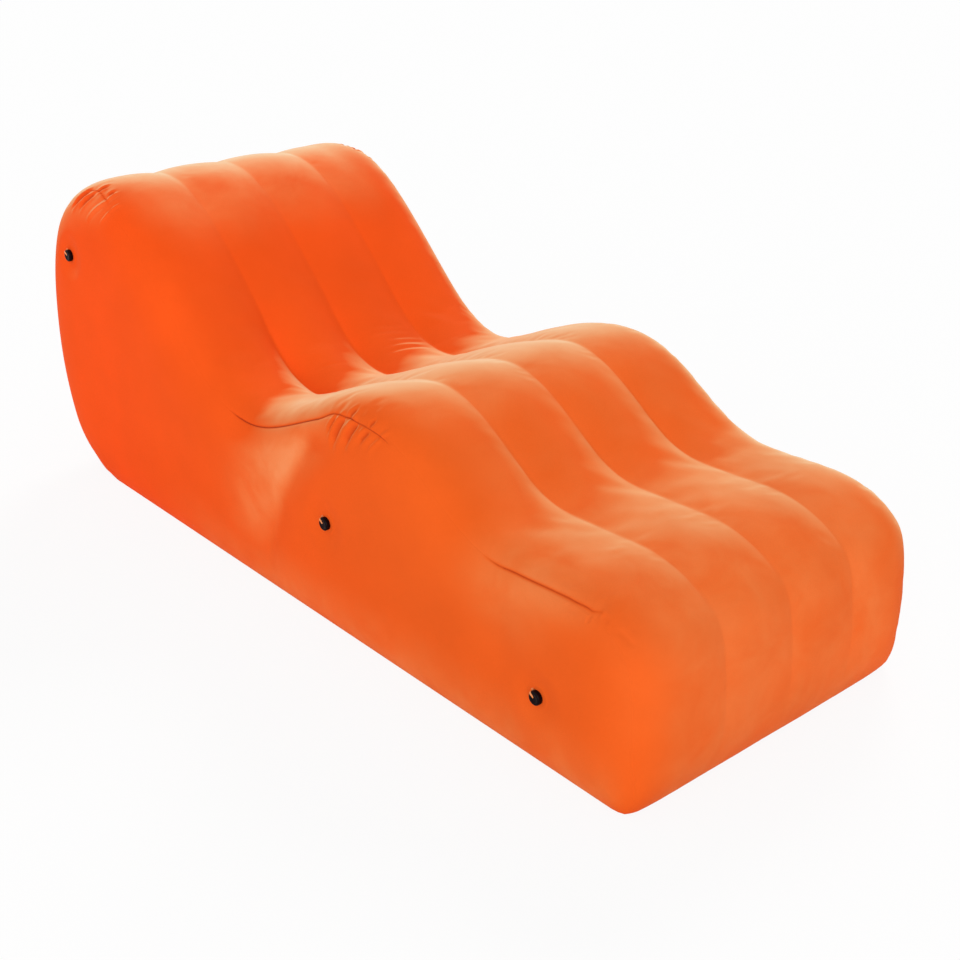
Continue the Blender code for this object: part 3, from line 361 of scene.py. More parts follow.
# Cloth pass: the top sheet under air pressure, held along its welds, with a little spare length that puckers
CLOTH_PITCH = 0.012
CLOTH_FRAMES = 20
CLOTH_SPARE = 0.013
CLOTH_SETTINGS = {"vertex_group_mass": "held", "quality": 6, "mass": 0.3, "tension_stiffness": 60.0,
                  "compression_stiffness": 60.0, "shear_stiffness": 20.0, "bending_stiffness": 1.5,
                  "shrink_min": -CLOTH_SPARE, "use_pressure": True, "uniform_pressure_force": 4.0}
CLOTH_LIFT = 0.34
CLOTH_MOST = 0.0026
CLOTH_SMOOTH = 0.070


def cloth_sheet():
    """Coarse sheet of the top over even runs and places across, and the mask of the points that are held."""
    runs = np.linspace(0.0, TOTAL_RUN, int(TOTAL_RUN / CLOTH_PITCH))
    lines = (-SEAM_HALF, *GROOVE_LINES, SEAM_HALF)
    parts = [np.linspace(low, high, int((high - low) / CLOTH_PITCH) + 1, endpoint=False)
             for low, high in zip(lines, lines[1:])]
    across = np.concatenate(parts + [np.array((SEAM_HALF,))])
    run_grid, y_grid = np.meshgrid(runs, across, indexing='ij')
    held = np.min([np.abs(y_grid - line) for line in lines], axis=0) < 1e-6
    held |= np.minimum(run_grid, TOTAL_RUN - run_grid) < 2 * CLOTH_PITCH
    return runs, across, run_grid, y_grid, held


def cloth_moves(start, faces, held):
    """How far each point of the sheet has moved once the pressure has filled it."""
    mesh = bpy.data.meshes.new("pressed_sheet")
    mesh.from_pydata(start.tolist(), [], faces.tolist())
    obj = placed("pressed_sheet", mesh)
    group = obj.vertex_groups.new(name="held")
    group.add(np.flatnonzero(held).tolist(), 1.0, 'REPLACE')
    cloth = obj.modifiers.new("cloth", 'CLOTH')
    for key, value in CLOTH_SETTINGS.items():
        setattr(cloth.settings, key, value)
    cloth.settings.effector_weights.gravity = 0.0
    cloth.collision_settings.use_collision = False
    for number in range(1, CLOTH_FRAMES + 1):
        bpy.context.scene.frame_set(number)
    filled = obj.evaluated_get(bpy.context.evaluated_depsgraph_get()).data
    spots = np.empty(len(start) * 3)
    filled.vertices.foreach_get("co", spots)
    bpy.context.scene.frame_set(1)
    bpy.data.objects.remove(obj, do_unlink=True)
    bpy.data.meshes.remove(mesh)
    return spots.reshape(-1, 3) - start


def puckers():
    """Grid of the small heights that the cloth pass leaves on the top sheet, without its even swelling."""
    runs, across, run_grid, y_grid, held = cloth_sheet()
    rows, columns = run_grid.shape
    start = top_points(run_grid.ravel(), y_grid.ravel(), relief=False)
    _, faces = grid_faces(start, rows, columns)
    moves = (cloth_moves(start, faces, held.ravel()) * unit(face_sums(start, faces))).sum(axis=1)
    moves = moves.reshape(rows, columns)
    even = np.stack([smoothed(column, int(CLOTH_SMOOTH / CLOTH_PITCH)) for column in moves.T], axis=1)
    return runs, across, np.clip(CLOTH_LIFT * (moves - even), -CLOTH_MOST, CLOTH_MOST)


def cubic_weights(t):
    return (0.5 * (-t + 2 * t ** 2 - t ** 3), 0.5 * (2 - 5 * t ** 2 + 3 * t ** 3),
            0.5 * (t + 4 * t ** 2 - 3 * t ** 3), 0.5 * (t ** 3 - t ** 2))


def pucker_height(run, y):
    """Smooth value of the puckers between the points of their grid."""
    runs, across, grid = PUCKERS
    total = np.zeros_like(run)
    row = np.interp(run, runs, range(len(runs)))
    column = np.interp(y, across, range(len(across)))
    row_low, column_low = np.floor(row).astype(int), np.floor(column).astype(int)
    for i, by_row in enumerate(cubic_weights(row - row_low)):
        for j, by_column in enumerate(cubic_weights(column - column_low)):
            total += by_row * by_column * grid[(row_low + i - 1).clip(0, len(runs) - 1),
                                               (column_low + j - 1).clip(0, len(across) - 1)]
    return total


SETTLE_BACK = 0.07
SETTLE_FOOT = 0.06


def settle(run, up):
    """How far the rounded edge comes down close to the floor, so that the last row lies on it."""
    total = np.zeros_like(run)
    for end, away, reach in ((0.0, run, SETTLE_BACK), (TOTAL_RUN, TOTAL_RUN - run, SETTLE_FOOT)):
        lift = -path_outward(end)[1] * ROUND_DOWN * (1 - up) * END_ROUND_SHARE
        total += lift * (1 - smoothstep(away / reach))
    return total


def top_points(run, y, relief=True):
    """Outer face of the top sheet at runs and places across."""
    out, up = edge_shares(y)
    drop = groove_depth(run, y) * sag_share(y) + ROUND_DOWN * (1 - up) * end_fade(run) - lean_height(run, y)
    place = path_place(run) - path_outward(run) * drop[..., None]
    place[..., 1] -= settle(run, up)
    if not relief:
        return joined(place[..., 0], y, np.maximum(place[..., 1], 0.0))
    gap = np.maximum(SEAM_HALF - np.abs(y), 0.0)
    height = stroke_height(FOLDS, run, gap) + stroke_height(WRINKLES, run, y) + pucker_height(run, y)
    height += LUMP_HEIGHT * lumps(joined(place[..., 0], y, place[..., 1])) * smoothstep(gap / LUMP_FADE)
    height -= crease_depth(run, gap) + corner_depth(run, gap)
    aside, upward = round_normal(out, up)
    place = place + path_outward(run) * (height * upward)[..., None]
    across = y + np.sign(y) * height * aside
    return joined(place[..., 0], across, np.maximum(place[..., 1], 0.0))


# Spacing of the sheets' points: along the run and in a fold's half widths; across, at the seam and at a
# groove with its growth beside them, and at most
RUN_SPACING = 0.012
FOLD_SPACING = 0.75
SEAM_SPACING = (0.0011, 0.090)
GROOVE_SPACING = (0.0030, 0.14)
MOST_SPACING = 0.0095
SPREAD_SAMPLES = 6000


def spread(start, end, spacing_at):
    """Places from start to end whose spacing follows spacing_at(place)."""
    grid = np.linspace(start, end, SPREAD_SAMPLES)
    weight = 1 / spacing_at(grid)
    total = np.concatenate(([0.0], np.cumsum((weight[1:] + weight[:-1]) / 2 * np.diff(grid))))
    count = int(math.ceil(total[-1]))
    return np.interp(np.linspace(0, total[-1], count + 1), total, grid)


def run_spacing(run):
    spacing = np.full_like(run, RUN_SPACING)
    for first, _, last, _, half, _ in FOLDS + WRINKLES:
        near = np.abs(run - (first + last) / 2) < abs(last - first) / 2 + 3 * half
        spacing = np.where(near, np.minimum(spacing, FOLD_SPACING * half), spacing)
    return spacing


def across_spacing(y):
    gap = SEAM_HALF - np.abs(y)
    groove = np.min([np.abs(y - line) for line in GROOVE_LINES], axis=0)
    by_seam = SEAM_SPACING[0] + gap * SEAM_SPACING[1]
    by_groove = GROOVE_SPACING[0] + groove * GROOVE_SPACING[1]
    return np.minimum(by_seam, by_groove).clip(SEAM_SPACING[0], MOST_SPACING)


RUNS = spread(0.0, TOTAL_RUN, run_spacing)
ACROSS_HALF = spread(0.0, SEAM_HALF, across_spacing)
ACROSS = np.concatenate((-ACROSS_HALF[:0:-1], ACROSS_HALF))
COARSE_RUNS = np.linspace(0.0, TOTAL_RUN, 700)


def seam_line(run):
    """Seam in the side's plane, without its crease."""
    return top_points(run, np.full_like(run, SEAM_HALF), relief=False)[:, [0, 2]]


COARSE_SEAM = seam_line(COARSE_RUNS)


# Side sheets
CHUNK = 2000


def nearest_on(line, values, points):
    """Least distance of each point to a polyline, and the value there."""
    best = np.full(len(points), 1e9)
    value = np.zeros(len(points))
    start = line[:-1]
    step = np.diff(line, axis=0)
    length = (step ** 2).sum(axis=1)
    for low in range(0, len(points), CHUNK):
        chunk = points[low:low + CHUNK]
        share = (((chunk[:, None] - start) * step).sum(axis=2) / length).clip(0.0, 1.0)
        gap = np.sqrt(((start + step * share[..., None] - chunk[:, None]) ** 2).sum(axis=2))
        pick = gap.argmin(axis=1)
        rows = np.arange(len(chunk))
        best[low:low + CHUNK] = gap[rows, pick]
        spot = share[rows, pick]
        value[low:low + CHUNK] = values[pick] + (values[pick + 1] - values[pick]) * spot
    return best, value


# Painted highlight along the top sheet and along the side seam, and painted shade where a share is below
# zero: run and share, and how far the seam's share reaches
PAINTED_LIGHT_ALONG_TOP = ((0.0, 0.0), (0.60, 0.0), (0.90, 0.58), (1.18, 0.0), (1.30, -0.40), (1.62, -0.15), (1.90, 0.42),
               (2.05, 0.10), (2.16, 0.10), (2.36, 0.34), (2.62, 0.24), (TOTAL_RUN, 0.26))
PAINTED_LIGHT_ALONG_SEAM = ((0.0, 0.0), (0.80, 0.0), (0.90, 0.3), (1.0, 0.0), (1.46, -0.20), (1.60, 0.25), (1.72, 0.36),
                (1.80, 0.10), (1.90, 0.0), (2.16, 0.0), (2.28, 0.36), (2.36, 0.34), (2.50, 0.05),
                (TOTAL_RUN, 0.0))
SEAM_REACH_TOP = 0.11
SEAM_REACH_SIDE = 0.05
# Painted light on the sides, a painted highlight on the seat valley's flank and by the leg and painted bounce
# light by the floor: share, and then its place and fade by the seat's valley, by the floor, by the leg
PAINTED_LIGHT_FLANK = (0.72, -0.055, 0.080, 0.022, 0.060, 0.05, 0.75)
PAINTED_BOUNCE_LOW = (0.36, 0.14, 0.16, -0.50, 0.40)
PAINTED_LIGHT_LEG = (0.36, 0.60, 0.285, 1.4, 0.085)

# Valleys by the partitions: depth, half width towards the head and the foot, and the line's (height, x)
VALLEYS = ((0.019, 0.20, 0.10, ((0.0, -0.060), (0.113, -0.033), (0.207, 0.004), (0.280, 0.045),
                                (0.340, 0.085))),
           (0.007, 0.13, 0.12, ((0.0, 0.600), (0.340, 0.600))))
# Softness of a valley's line, shares of its width and depth that it has at the floor, fade at the edges
VALLEY_SOFT = 0.012
VALLEY_LOW_WIDTH = 0.6
VALLEY_LOW_DEPTH = 0.35
VALLEY_FADE = 0.06
# Sheet's edge at the floor, and the flat pads of the valves with their rings: height, radius, width
EDGE_POWER = 7.0
FLOOR_FADE = 0.05
PAD_RADIUS = 0.0225
PAD_FADE = 0.036
PAD_RINGS = ((0.0007, 0.0195, 0.0012), (-0.0005, 0.0218, 0.0013))


def from_valley(number, x, z):
    """Way from a valley's line, positive towards the foot, and the height's share of the line."""
    heights, places = zip(*VALLEYS[number][3])
    return x - np.interp(z, heights, places), np.clip(z / heights[-1], 0.0, 1.0)


def valley_depth(x, z, gap):
    total = np.zeros_like(x)
    for number, (depth, to_head, to_foot, _) in enumerate(VALLEYS):
        aside, level = from_valley(number, x, z)
        half = np.where(aside < 0, to_head, to_foot) * (VALLEY_LOW_WIDTH + (1 - VALLEY_LOW_WIDTH) * level)
        near = np.clip(1 - np.hypot(aside, VALLEY_SOFT) / half, 0.0, 1.0)
        total += depth * near ** 2 * (VALLEY_LOW_DEPTH + (1 - VALLEY_LOW_DEPTH) * level)
    return total * smoothstep(gap / VALLEY_FADE)


def painted_light_seam(run):
    """Share of painted highlight, and of painted shade where it is below zero, at the side seam, where the
    sheets meet.
    """
    return smooth_interp(run, *zip(*PAINTED_LIGHT_ALONG_SEAM))


def painted_light_side(x, z, run, gap):
    """Where a side is painted paler: painted highlight and painted bounce light."""
    aside, level = from_valley(0, x, z)
    share, head_edge, head_fade, foot_edge, foot_fade, low, low_fade = PAINTED_LIGHT_FLANK
    total = share * bell(np.minimum(aside, head_edge), head_edge, head_fade)
    total *= smoothstep((foot_edge - aside) / foot_fade) * smoothstep((level - low) / low_fade)
    share, top, top_fade, start, start_fade = PAINTED_BOUNCE_LOW
    total = np.maximum(total, share * smoothstep((top - z) / top_fade) * smoothstep((x - start) / start_fade))
    share, middle_x, middle_z, squash, half = PAINTED_LIGHT_LEG
    total = np.maximum(total, share * bell(np.hypot(x - middle_x, (z - middle_z) * squash), 0.0, half))
    return total + (painted_light_seam(run) - total) * (1 - smoothstep(gap / SEAM_REACH_SIDE))


def painted_light_top(run, y):
    """The same along the top sheet: painted highlight on the crests, the leg and the foot face."""
    share = smooth_interp(run, *zip(*PAINTED_LIGHT_ALONG_TOP))
    return share + (painted_light_seam(run) - share) * (1 - smoothstep((SEAM_HALF - np.abs(y)) / SEAM_REACH_TOP))


def side_points(flat, side, with_valves, relief=True):
    """Outer face of a side sheet at points of the side's plane."""
    x, z = flat[:, 0], flat[:, 1]
    seam_gap, run = nearest_on(COARSE_SEAM, COARSE_RUNS, flat)
    floor_gap = np.maximum(z, 0.0)
    gap = sum(np.maximum(way, 1e-6) ** -EDGE_POWER for way in (seam_gap, floor_gap)) ** (-1 / EDGE_POWER)
    up = np.clip((BULGE_RUN - gap) / ROUND_DOWN, 0.0, 1.0)
    out = (1 - up ** ROUND_POWER) ** (1 / ROUND_POWER)
    reach = CREST_Y + ROUND_OUT * out - valley_depth(x, z, gap)
    flat_share = np.zeros_like(x)
    if with_valves:
        for _, valve_x, valve_z, plane in VALVES:
            far = np.hypot(x - valve_x, z - valve_z)
            share = 1 - smoothstep((far - PAD_RADIUS) / PAD_FADE)
            ring = sum(height * bell(far, radius, half) for height, radius, half in PAD_RINGS)
            reach = reach + (plane - reach) * share + ring * relief
            flat_share = np.maximum(flat_share, share)
    spots = joined(x, reach * side, z)
    if not relief:
        return spots
    live = smoothstep(floor_gap / FLOOR_FADE)
    height = stroke_height(FOLDS, run, -seam_gap) * live
    height += LUMP_HEIGHT * lumps(spots) * smoothstep(gap / LUMP_FADE) * (1 - flat_share)
    height -= crease_depth(run, -seam_gap) * live + corner_depth(run, seam_gap)
    aside, upward = round_normal(out, up)
    shift = path_outward(run) * (height * upward)[:, None]
    spots += joined(shift[:, 0], height * aside * side, shift[:, 1])
    spots[:, 2] = np.maximum(spots[:, 2], 0.0)
    return spots


def inside(points, loop):
    """Which points lie inside a closed loop."""
    a = loop
    b = np.roll(loop, -1, axis=0)
    result = np.zeros(len(points), dtype=bool)
    for low in range(0, len(points), CHUNK):
        x, z = points[low:low + CHUNK].T[:, :, None]
        cross = (a[:, 1] > z) != (b[:, 1] > z)
        rise = np.where(b[:, 1] == a[:, 1], 1.0, b[:, 1] - a[:, 1])
        left = x < (b[:, 0] - a[:, 0]) * (z - a[:, 1]) / rise + a[:, 0]
        result[low:low + CHUNK] = (cross & left).sum(axis=1) % 2 == 1
    return result


def fill_outline(outline, holes, inner):
    """Points and triangles over an outline with holes, and the number of each point in what came in."""
    edges = []
    start = 0
    for loop in [outline] + holes:
        count = len(loop)
        edges += [(start + k, start + (k + 1) % count) for k in range(count)]
        start += count
    flat = np.vstack([outline] + holes + [inner])
    made = geometry.delaunay_2d_cdt([Vector(p) for p in flat], edges, [], 0, 1e-7)
    points = np.array([tuple(v) for v in made[0]])
    faces = np.array(made[2])
    source = np.array([o[0] if o else -1 for o in made[3]])
    centres = points[faces].mean(axis=1)
    keep = inside(centres, outline)
    for hole in holes:
        keep &= ~inside(centres, hole)
    return points, faces[keep], source


def circle(radius, sides, centre=(0.0, 0.0), turn=0.0):
    angle = 2 * math.pi * np.arange(sides) / sides + turn
    return joined(centre[0] + radius * np.cos(angle), centre[1] + radius * np.sin(angle))


# Rings of points along a sheet's edge: first step, growth, reach, least spacing and least way from the edge
RING_STEP = 0.0011
RING_GROWTH = 1.20
RING_REACH = 0.045
RING_SPACING = 0.55
RING_CLEAR = 0.97
# Points of a side sheet: pitch along the floor and inside, rows of the lattice, and round each valve
FLOOR_PITCH = 0.012
SIDE_PITCH = 0.0115
SIDE_ROW = 0.866
HOLE_SIDES = 36
OUTER_SIDES = 28
OUTER_FROM = 0.025
VALVE_RINGS = (0.0090, 0.0115, 0.0140, 0.0165, 0.0182, 0.0195, 0.0207, 0.0220, 0.0238, 0.0270, 0.0310)
VALVE_CLEAR = 0.036


def seam_rings(outline):
    """Rings of points inside the outline, closer together near it."""
    before = outline - np.roll(outline, 1, axis=0)
    after = np.roll(outline, -1, axis=0) - outline
    before /= np.hypot(*before.T)[:, None]
    after /= np.hypot(*after.T)[:, None]
    inward = joined(before[:, 1] + after[:, 1], -before[:, 0] - after[:, 0])
    inward /= np.hypot(*inward.T)[:, None]
    closed = np.vstack((outline, outline[:1]))
    inset = 0.0
    step = RING_STEP
    rings = []
    while inset < RING_REACH:
        inset += step
        step *= RING_GROWTH
        ring = outline + inward * inset
        gap, _ = nearest_on(closed, np.zeros(len(closed)), ring)
        spacing = np.hypot(*(ring - np.roll(ring, 1, axis=0)).T)
        crowd = np.cumsum(spacing) // (RING_SPACING * step)
        fresh = crowd != np.roll(crowd, 1)
        rings.append(ring[(gap > inset * RING_CLEAR) & (ring[:, 1] > 0.0) & fresh])
    return np.vstack(rings), inset


def side_layout(with_valves):
    """Flat layout of a side sheet."""
    seam = seam_line(RUNS)
    count = int((seam[-1, 0] - seam[0, 0]) / FLOOR_PITCH)
    outline = np.vstack((seam, joined(np.linspace(seam[-1, 0], seam[0, 0], count + 1)[1:-1], 0.0)))
    rings, inset = seam_rings(outline)
    xs = np.arange(outline[:, 0].min(), outline[:, 0].max(), SIDE_PITCH)
    zs = np.arange(0.0, outline[:, 1].max(), SIDE_PITCH * SIDE_ROW)
    lattice = np.array([(x + SIDE_PITCH / 2 * (j % 2), z) for j, z in enumerate(zs) for x in xs])
    from_seam, _ = nearest_on(COARSE_SEAM, COARSE_RUNS, lattice)
    clear = inset + SIDE_PITCH / 2
    keep = inside(lattice, outline) & (from_seam > clear) & (lattice[:, 1] > clear)
    holes = []
    rounds = []
    for _, x, z, _ in VALVES if with_valves else ():
        keep &= np.hypot(lattice[:, 0] - x, lattice[:, 1] - z) > VALVE_CLEAR
        holes.append(circle(HOLE_RADIUS, HOLE_SIDES, (x, z)))
        for number, radius in enumerate(VALVE_RINGS):
            sides = HOLE_SIDES if radius < OUTER_FROM else OUTER_SIDES
            rounds.append(circle(radius, sides, (x, z), math.pi / sides * (number % 2)))
    return fill_outline(outline, holes, np.vstack([rings] + rounds + [lattice[keep]]))


# Meshes
def face_sums(points, faces):
    """Sum of the area vectors of the faces at each point."""
    corner = points[faces]
    if faces.shape[1] == 3:
        area = np.cross(corner[:, 1] - corner[:, 0], corner[:, 2] - corner[:, 0])
    else:
        area = np.cross(corner[:, 2] - corner[:, 0], corner[:, 3] - corner[:, 1])
    total = np.zeros_like(points)
    for column in range(faces.shape[1]):
        np.add.at(total, faces[:, column], area)
    return total


def unit(vectors):
    return vectors / np.maximum(np.linalg.norm(vectors, axis=1), 1e-12)[:, None]


def turned_out(points, faces):
    """The faces, turned away from the middle of the envelope."""
    outward = (face_sums(points, faces) * (points - np.array((0.0, 0.0, 0.17)))).sum()
    return faces if outward > 0 else faces[:, ::-1]


def grid_faces(points, rows, columns):
    """Numbers of the points of a grid, and its faces, turned out."""
    at = np.arange(rows * columns).reshape(rows, columns)
    faces = np.stack((at[:-1, :-1], at[1:, :-1], at[1:, 1:], at[:-1, 1:]), axis=-1).reshape(-1, 4)
    return at, turned_out(points, faces)


def placed(name, data):
    """New object in the scene."""
    obj = bpy.data.objects.new(name, data)
    bpy.context.scene.collection.objects.link(obj)
    return obj


def mesh_object(name, verts, faces, mat, sharp_deg=40.0):
    mesh = bpy.data.meshes.new(name)
    mesh.from_pydata(np.asarray(verts).tolist(), [], faces)
    mesh.validate()
    mesh.materials.append(mat)
    mesh.shade_smooth()
    mesh.set_sharp_from_angle(angle=math.radians(sharp_deg))
    return placed(name, mesh)


def closed_sheet(name, points, faces, normals, thickness, mat, sharp_deg=62.0):
    """Closed sheet: its outer face, an inner face one thickness behind it, and a rim."""
    count = len(points)
    edges = dict.fromkeys(pair for face in faces.tolist() for pair in zip(face, face[1:] + face[:1]))
    rim = [(b, a, a + count, b + count) for a, b in edges if (b, a) not in edges]
    every = faces.tolist() + (faces[:, ::-1] + count).tolist() + rim
    return mesh_object(name, np.vstack((points, points - normals * thickness)), every, mat, sharp_deg)


def set_share(obj, name, values):
    """Share of a look at each point of a closed sheet, on both its faces."""
    attribute = obj.data.attributes.new(name, 'FLOAT', 'POINT')
    attribute.data.foreach_set("value", np.concatenate((values, values)))


PUCKERS = puckers()


def build_envelope(flocked, vinyl):
    """Top sheet, two side sheets and the floor sheet."""
    run_grid, y_grid = (g.ravel() for g in np.meshgrid(RUNS, ACROSS, indexing='ij'))
    rows = len(RUNS)
    top = top_points(run_grid, y_grid)
    at, top_faces = grid_faces(top, rows, len(ACROSS))
    top_sum = face_sums(top, top_faces)

    sides = {}
    for name, side, edge in (("side_sheet_near", -1, at[:, 0]), ("side_sheet_far", 1, at[:, -1])):
        flat, faces, source = side_layout(side < 0)
        points = side_points(flat, side, side < 0)
        on_seam = np.flatnonzero((source >= 0) & (source < rows))
        order = source[on_seam]
        points[on_seam] = top[edge[order]]
        faces = turned_out(points, faces)
        sums = face_sums(points, faces)
        joint = sums[on_seam] + top_sum[edge[order]]
        sums[on_seam] = joint
        top_sum[edge[order]] = joint
        gap, run = nearest_on(COARSE_SEAM, COARSE_RUNS, flat)
        # Shares of painted shade in the crease and folds, and of painted highlight and shade, on a side sheet
        looks = {"pressed": crease_shade_share(run, -gap), "brushed": painted_light_side(*flat.T, run, gap)}
        sides[name] = (points, faces, unit(sums), looks)
    pieces = {"top_sheet": closed_sheet("top_sheet", top, top_faces, unit(top_sum), SKIN, flocked)}
    # The same shares of painted shade and painted highlight on the top sheet
    set_share(pieces["top_sheet"], "pressed", crease_shade_share(run_grid, SEAM_HALF - np.abs(y_grid)))
    set_share(pieces["top_sheet"], "brushed", painted_light_top(run_grid, y_grid))
    for name, (points, faces, normals, looks) in sides.items():
        pieces[name] = closed_sheet(name, points, faces, normals, SKIN, flocked)
        for look, values in looks.items():
            set_share(pieces[name], look, values)
    pieces["floor_sheet"] = build_floor_sheet(top[at[0]], top[at[-1]], sides["side_sheet_near"][0], vinyl)
    return pieces


# Floor sheet: way inside the edge, height, half width and fade of its grooves, points along and beside them
FLOOR_MARGIN = 0.0016
FLOOR_RISE = 0.003
FLOOR_GROOVE_HALF = 0.016
FLOOR_GROOVE_FADE = 0.060
FLOOR_LINES = (-1.0, -0.5, 0.0, 0.5, 1.0)
FLOOR_LINE_END = 0.012
FLOOR_LINE_PITCH = 0.02
FLOOR_ROW_GAP = 0.004


def build_floor_sheet(back_row, foot_row, near_side, vinyl):
    """Flat sheet under the body, with a shallow groove at each row of webs."""
    edge = near_side[near_side[:, 2] <= 1e-7]
    edge = edge[np.argsort(edge[:, 0])]
    edge = edge[edge[:, 0] > back_row[:, 0].max() + FLOOR_ROW_GAP]
    edge = edge[edge[:, 0] < foot_row[:, 0].min() - FLOOR_ROW_GAP]
    near = joined(edge[:, 0], np.abs(edge[:, 1]))
    outline = np.vstack((back_row[:, :2], near, foot_row[::-1, :2], near[::-1] * (1, -1)))
    centre = outline.mean(axis=0)
    size = np.abs(outline - centre).max(axis=0)
    outline = centre + (outline - centre) * (1 - FLOOR_MARGIN / size)
    first, last = outline[:, 0].min(), outline[:, 0].max()
    xs = np.arange(first + FLOOR_LINE_END, last - FLOOR_LINE_END, FLOOR_LINE_PITCH)
    lines = [joined(xs, line + share * FLOOR_GROOVE_HALF) for line in GROOVE_LINES for share in FLOOR_LINES]
    flat, faces, _ = fill_outline(outline, [], np.vstack(lines))
    aside = np.min([np.abs(flat[:, 1] - line) for line in GROOVE_LINES], axis=0)
    from_end = np.minimum(flat[:, 0] - first, last - flat[:, 0])
    height = FLOOR_RISE * smoothstep(1 - aside / FLOOR_GROOVE_HALF) * smoothstep(from_end / FLOOR_GROOVE_FADE)
    points = joined(flat[:, 0], flat[:, 1], height)
    if face_sums(points, faces)[:, 2].sum() > 0:
        faces = faces[:, ::-1]
    down = np.tile((0.0, 0.0, -1.0), (len(points), 1))
    return closed_sheet("floor_sheet", points, faces, down, BASE_SKIN, vinyl)


# Inner sheets: height over the floor sheet, points of a web and a vent; way under the top, reach past the
# crest and points of a partition
INNER_LOW = 0.0045
WEB_PITCH = 0.008
VENT_SIDES = 32
PARTITION_DROP = 0.030
PARTITION_PAST = 0.055
PARTITION_ROWS = 24
PARTITION_COLUMNS = 90


def partition_x(number, z):
    foot_x, top_x, top_z = PARTITIONS[number]
    return foot_x + (top_x - foot_x) * z / top_z


def flat_piece(name, outline, holes, lift, thickness_vector, mat):
    """Closed flat sheet from an outline with holes; lift takes its points into the body."""
    flat, faces, _ = fill_outline(outline, holes, np.zeros((0, 2)))
    points = lift(flat) + thickness_vector / 2
    normals = np.tile(thickness_vector / np.linalg.norm(thickness_vector), (len(points), 1))
    if (face_sums(points, faces) @ thickness_vector).sum() < 0:
        faces = faces[:, ::-1]
    return closed_sheet(name, points, faces, normals, float(np.linalg.norm(thickness_vector)), mat)


def cut_off(line, number, way):
    """Part of a web's line on one side of a partition, with its corner at the partition's foot."""
    part = line[(line[:, 0] - partition_x(number, line[:, 1])) * way > WEB_GAP]
    return np.vstack([part, (partition_x(number, INNER_LOW) + way * WEB_GAP, INNER_LOW)][::-way])


def build_webs(mat):
    pieces = {}
    runs = np.arange(0.0, TOTAL_RUN, WEB_PITCH)
    for place, y in zip(("near", "middle", "far"), GROOVE_LINES):
        depth = groove_depth(runs, y) - lean_height(runs, y) + SKIN + WEB_GAP
        line = path_place(runs) - path_outward(runs) * depth[:, None]
        line = line[line[:, 1] > INNER_LOW]
        for number, (chamber, vents) in enumerate(VENTS.items()):
            outline = cut_off(line, number - 1, 1) if number > 0 else line
            if number < len(PARTITIONS):
                outline = cut_off(outline, number, -1)
            name = "web_sheet_" + chamber + "_" + place
            holes = [circle(VENT_RADIUS, VENT_SIDES, vent) for vent in vents]
            pieces[name] = flat_piece(name, outline, holes, lambda flat: joined(flat[:, 0], y, flat[:, 1]),
                                      np.array((0.0, WEB_SKIN, 0.0)), mat)
    return pieces


def build_partitions(mat):
    pieces = {}
    inset = SKIN + WEB_GAP
    for number, name in enumerate(("partition_sheet_seat", "partition_sheet_leg")):
        foot_x, top_x, top_z = PARTITIONS[number]
        along = np.array((top_x - foot_x, top_z)) / math.hypot(top_x - foot_x, top_z)
        z = np.linspace(INNER_LOW, top_z - PARTITION_DROP, PARTITION_ROWS)
        wide = np.abs(side_points(joined(partition_x(number, z), z), 1, False, relief=False)[:, 1]) - inset
        ys = np.linspace(-CREST_Y - PARTITION_PAST, CREST_Y + PARTITION_PAST, PARTITION_COLUMNS)
        skin = top_points(np.full_like(ys, run_at_x(top_x)), ys, relief=False)
        height = (skin[:, [0, 2]] - np.array((foot_x, 0.0))) @ along - inset
        edge = joined(wide, z / along[1])
        outline = np.vstack((edge * (-1, 1), joined(ys, height), edge[::-1]))
        pieces[name] = flat_piece(name, outline, [],
                                  lambda flat: joined(foot_x + along[0] * flat[:, 1], flat[:, 0],
                                                      along[1] * flat[:, 1]),
                                  np.array((along[1], 0.0, -along[0])) * WEB_SKIN, mat)
    return pieces


# Valves
def turned_piece(name, profile, matrix, mat, sides=64):
    """Piece turned about local Z from (radius, height) points; ends on the axis are closed."""
    verts = []
    rings = []
    for radius, height in profile:
        ring = circle(radius, sides) if radius > 0.0 else np.zeros((1, 2))
        rings.append([len(verts) + k % len(ring) for k in range(sides)])
        verts += joined(ring[:, 0], ring[:, 1], height).tolist()
    faces = []
    for low, high in zip(rings, rings[1:] + rings[:1]):
        for k in range(sides):
            n = (k + 1) % sides
            face = tuple(dict.fromkeys((low[n], low[k], high[k], high[n])))
            faces += [face] if len(face) > 2 else []
    return mesh_object(name, [tuple(matrix @ Vector(v)) for v in verts], faces, mat)


def arc(centre, radius, start_deg, end_deg, steps):
    angle = np.radians(np.linspace(start_deg, end_deg, steps + 1))
    return joined(centre[0] + radius * np.cos(angle), centre[1] + radius * np.sin(angle)).tolist()


# How square a strip's section is, across and upward
STRIP_POWERS = (0.35, 0.7)


def strip_piece(name, stations, matrix, mat, thick, sides=16):
    """Soft-edged strip in local XZ through stations of (x, z, half width)."""
    line = np.array(stations)
    tangent = np.gradient(line[:, :2], axis=0)
    tangent /= np.hypot(*tangent.T)[:, None]
    verts = []
    for (x, z, half), (along_x, along_z) in zip(line, tangent):
        for k in range(sides):
            angle = 2 * math.pi * k / sides
            across, up = (math.copysign(abs(share) ** power, share)
                          for share, power in zip((math.cos(angle), math.sin(angle)), STRIP_POWERS))
            up *= thick / 2
            verts.append((x - along_z * up, half * across, z + along_x * up))
    rows = len(line)
    faces = [(i + k, i + (k + 1) % sides, i + sides + (k + 1) % sides, i + sides + k)
             for i in range(0, (rows - 1) * sides, sides) for k in range(sides)]
    faces += [tuple(range(sides))[::-1], tuple(range((rows - 1) * sides, rows * sides))]
    return mesh_object(name, [tuple(matrix @ Vector(v)) for v in verts], faces, mat, 50.0)


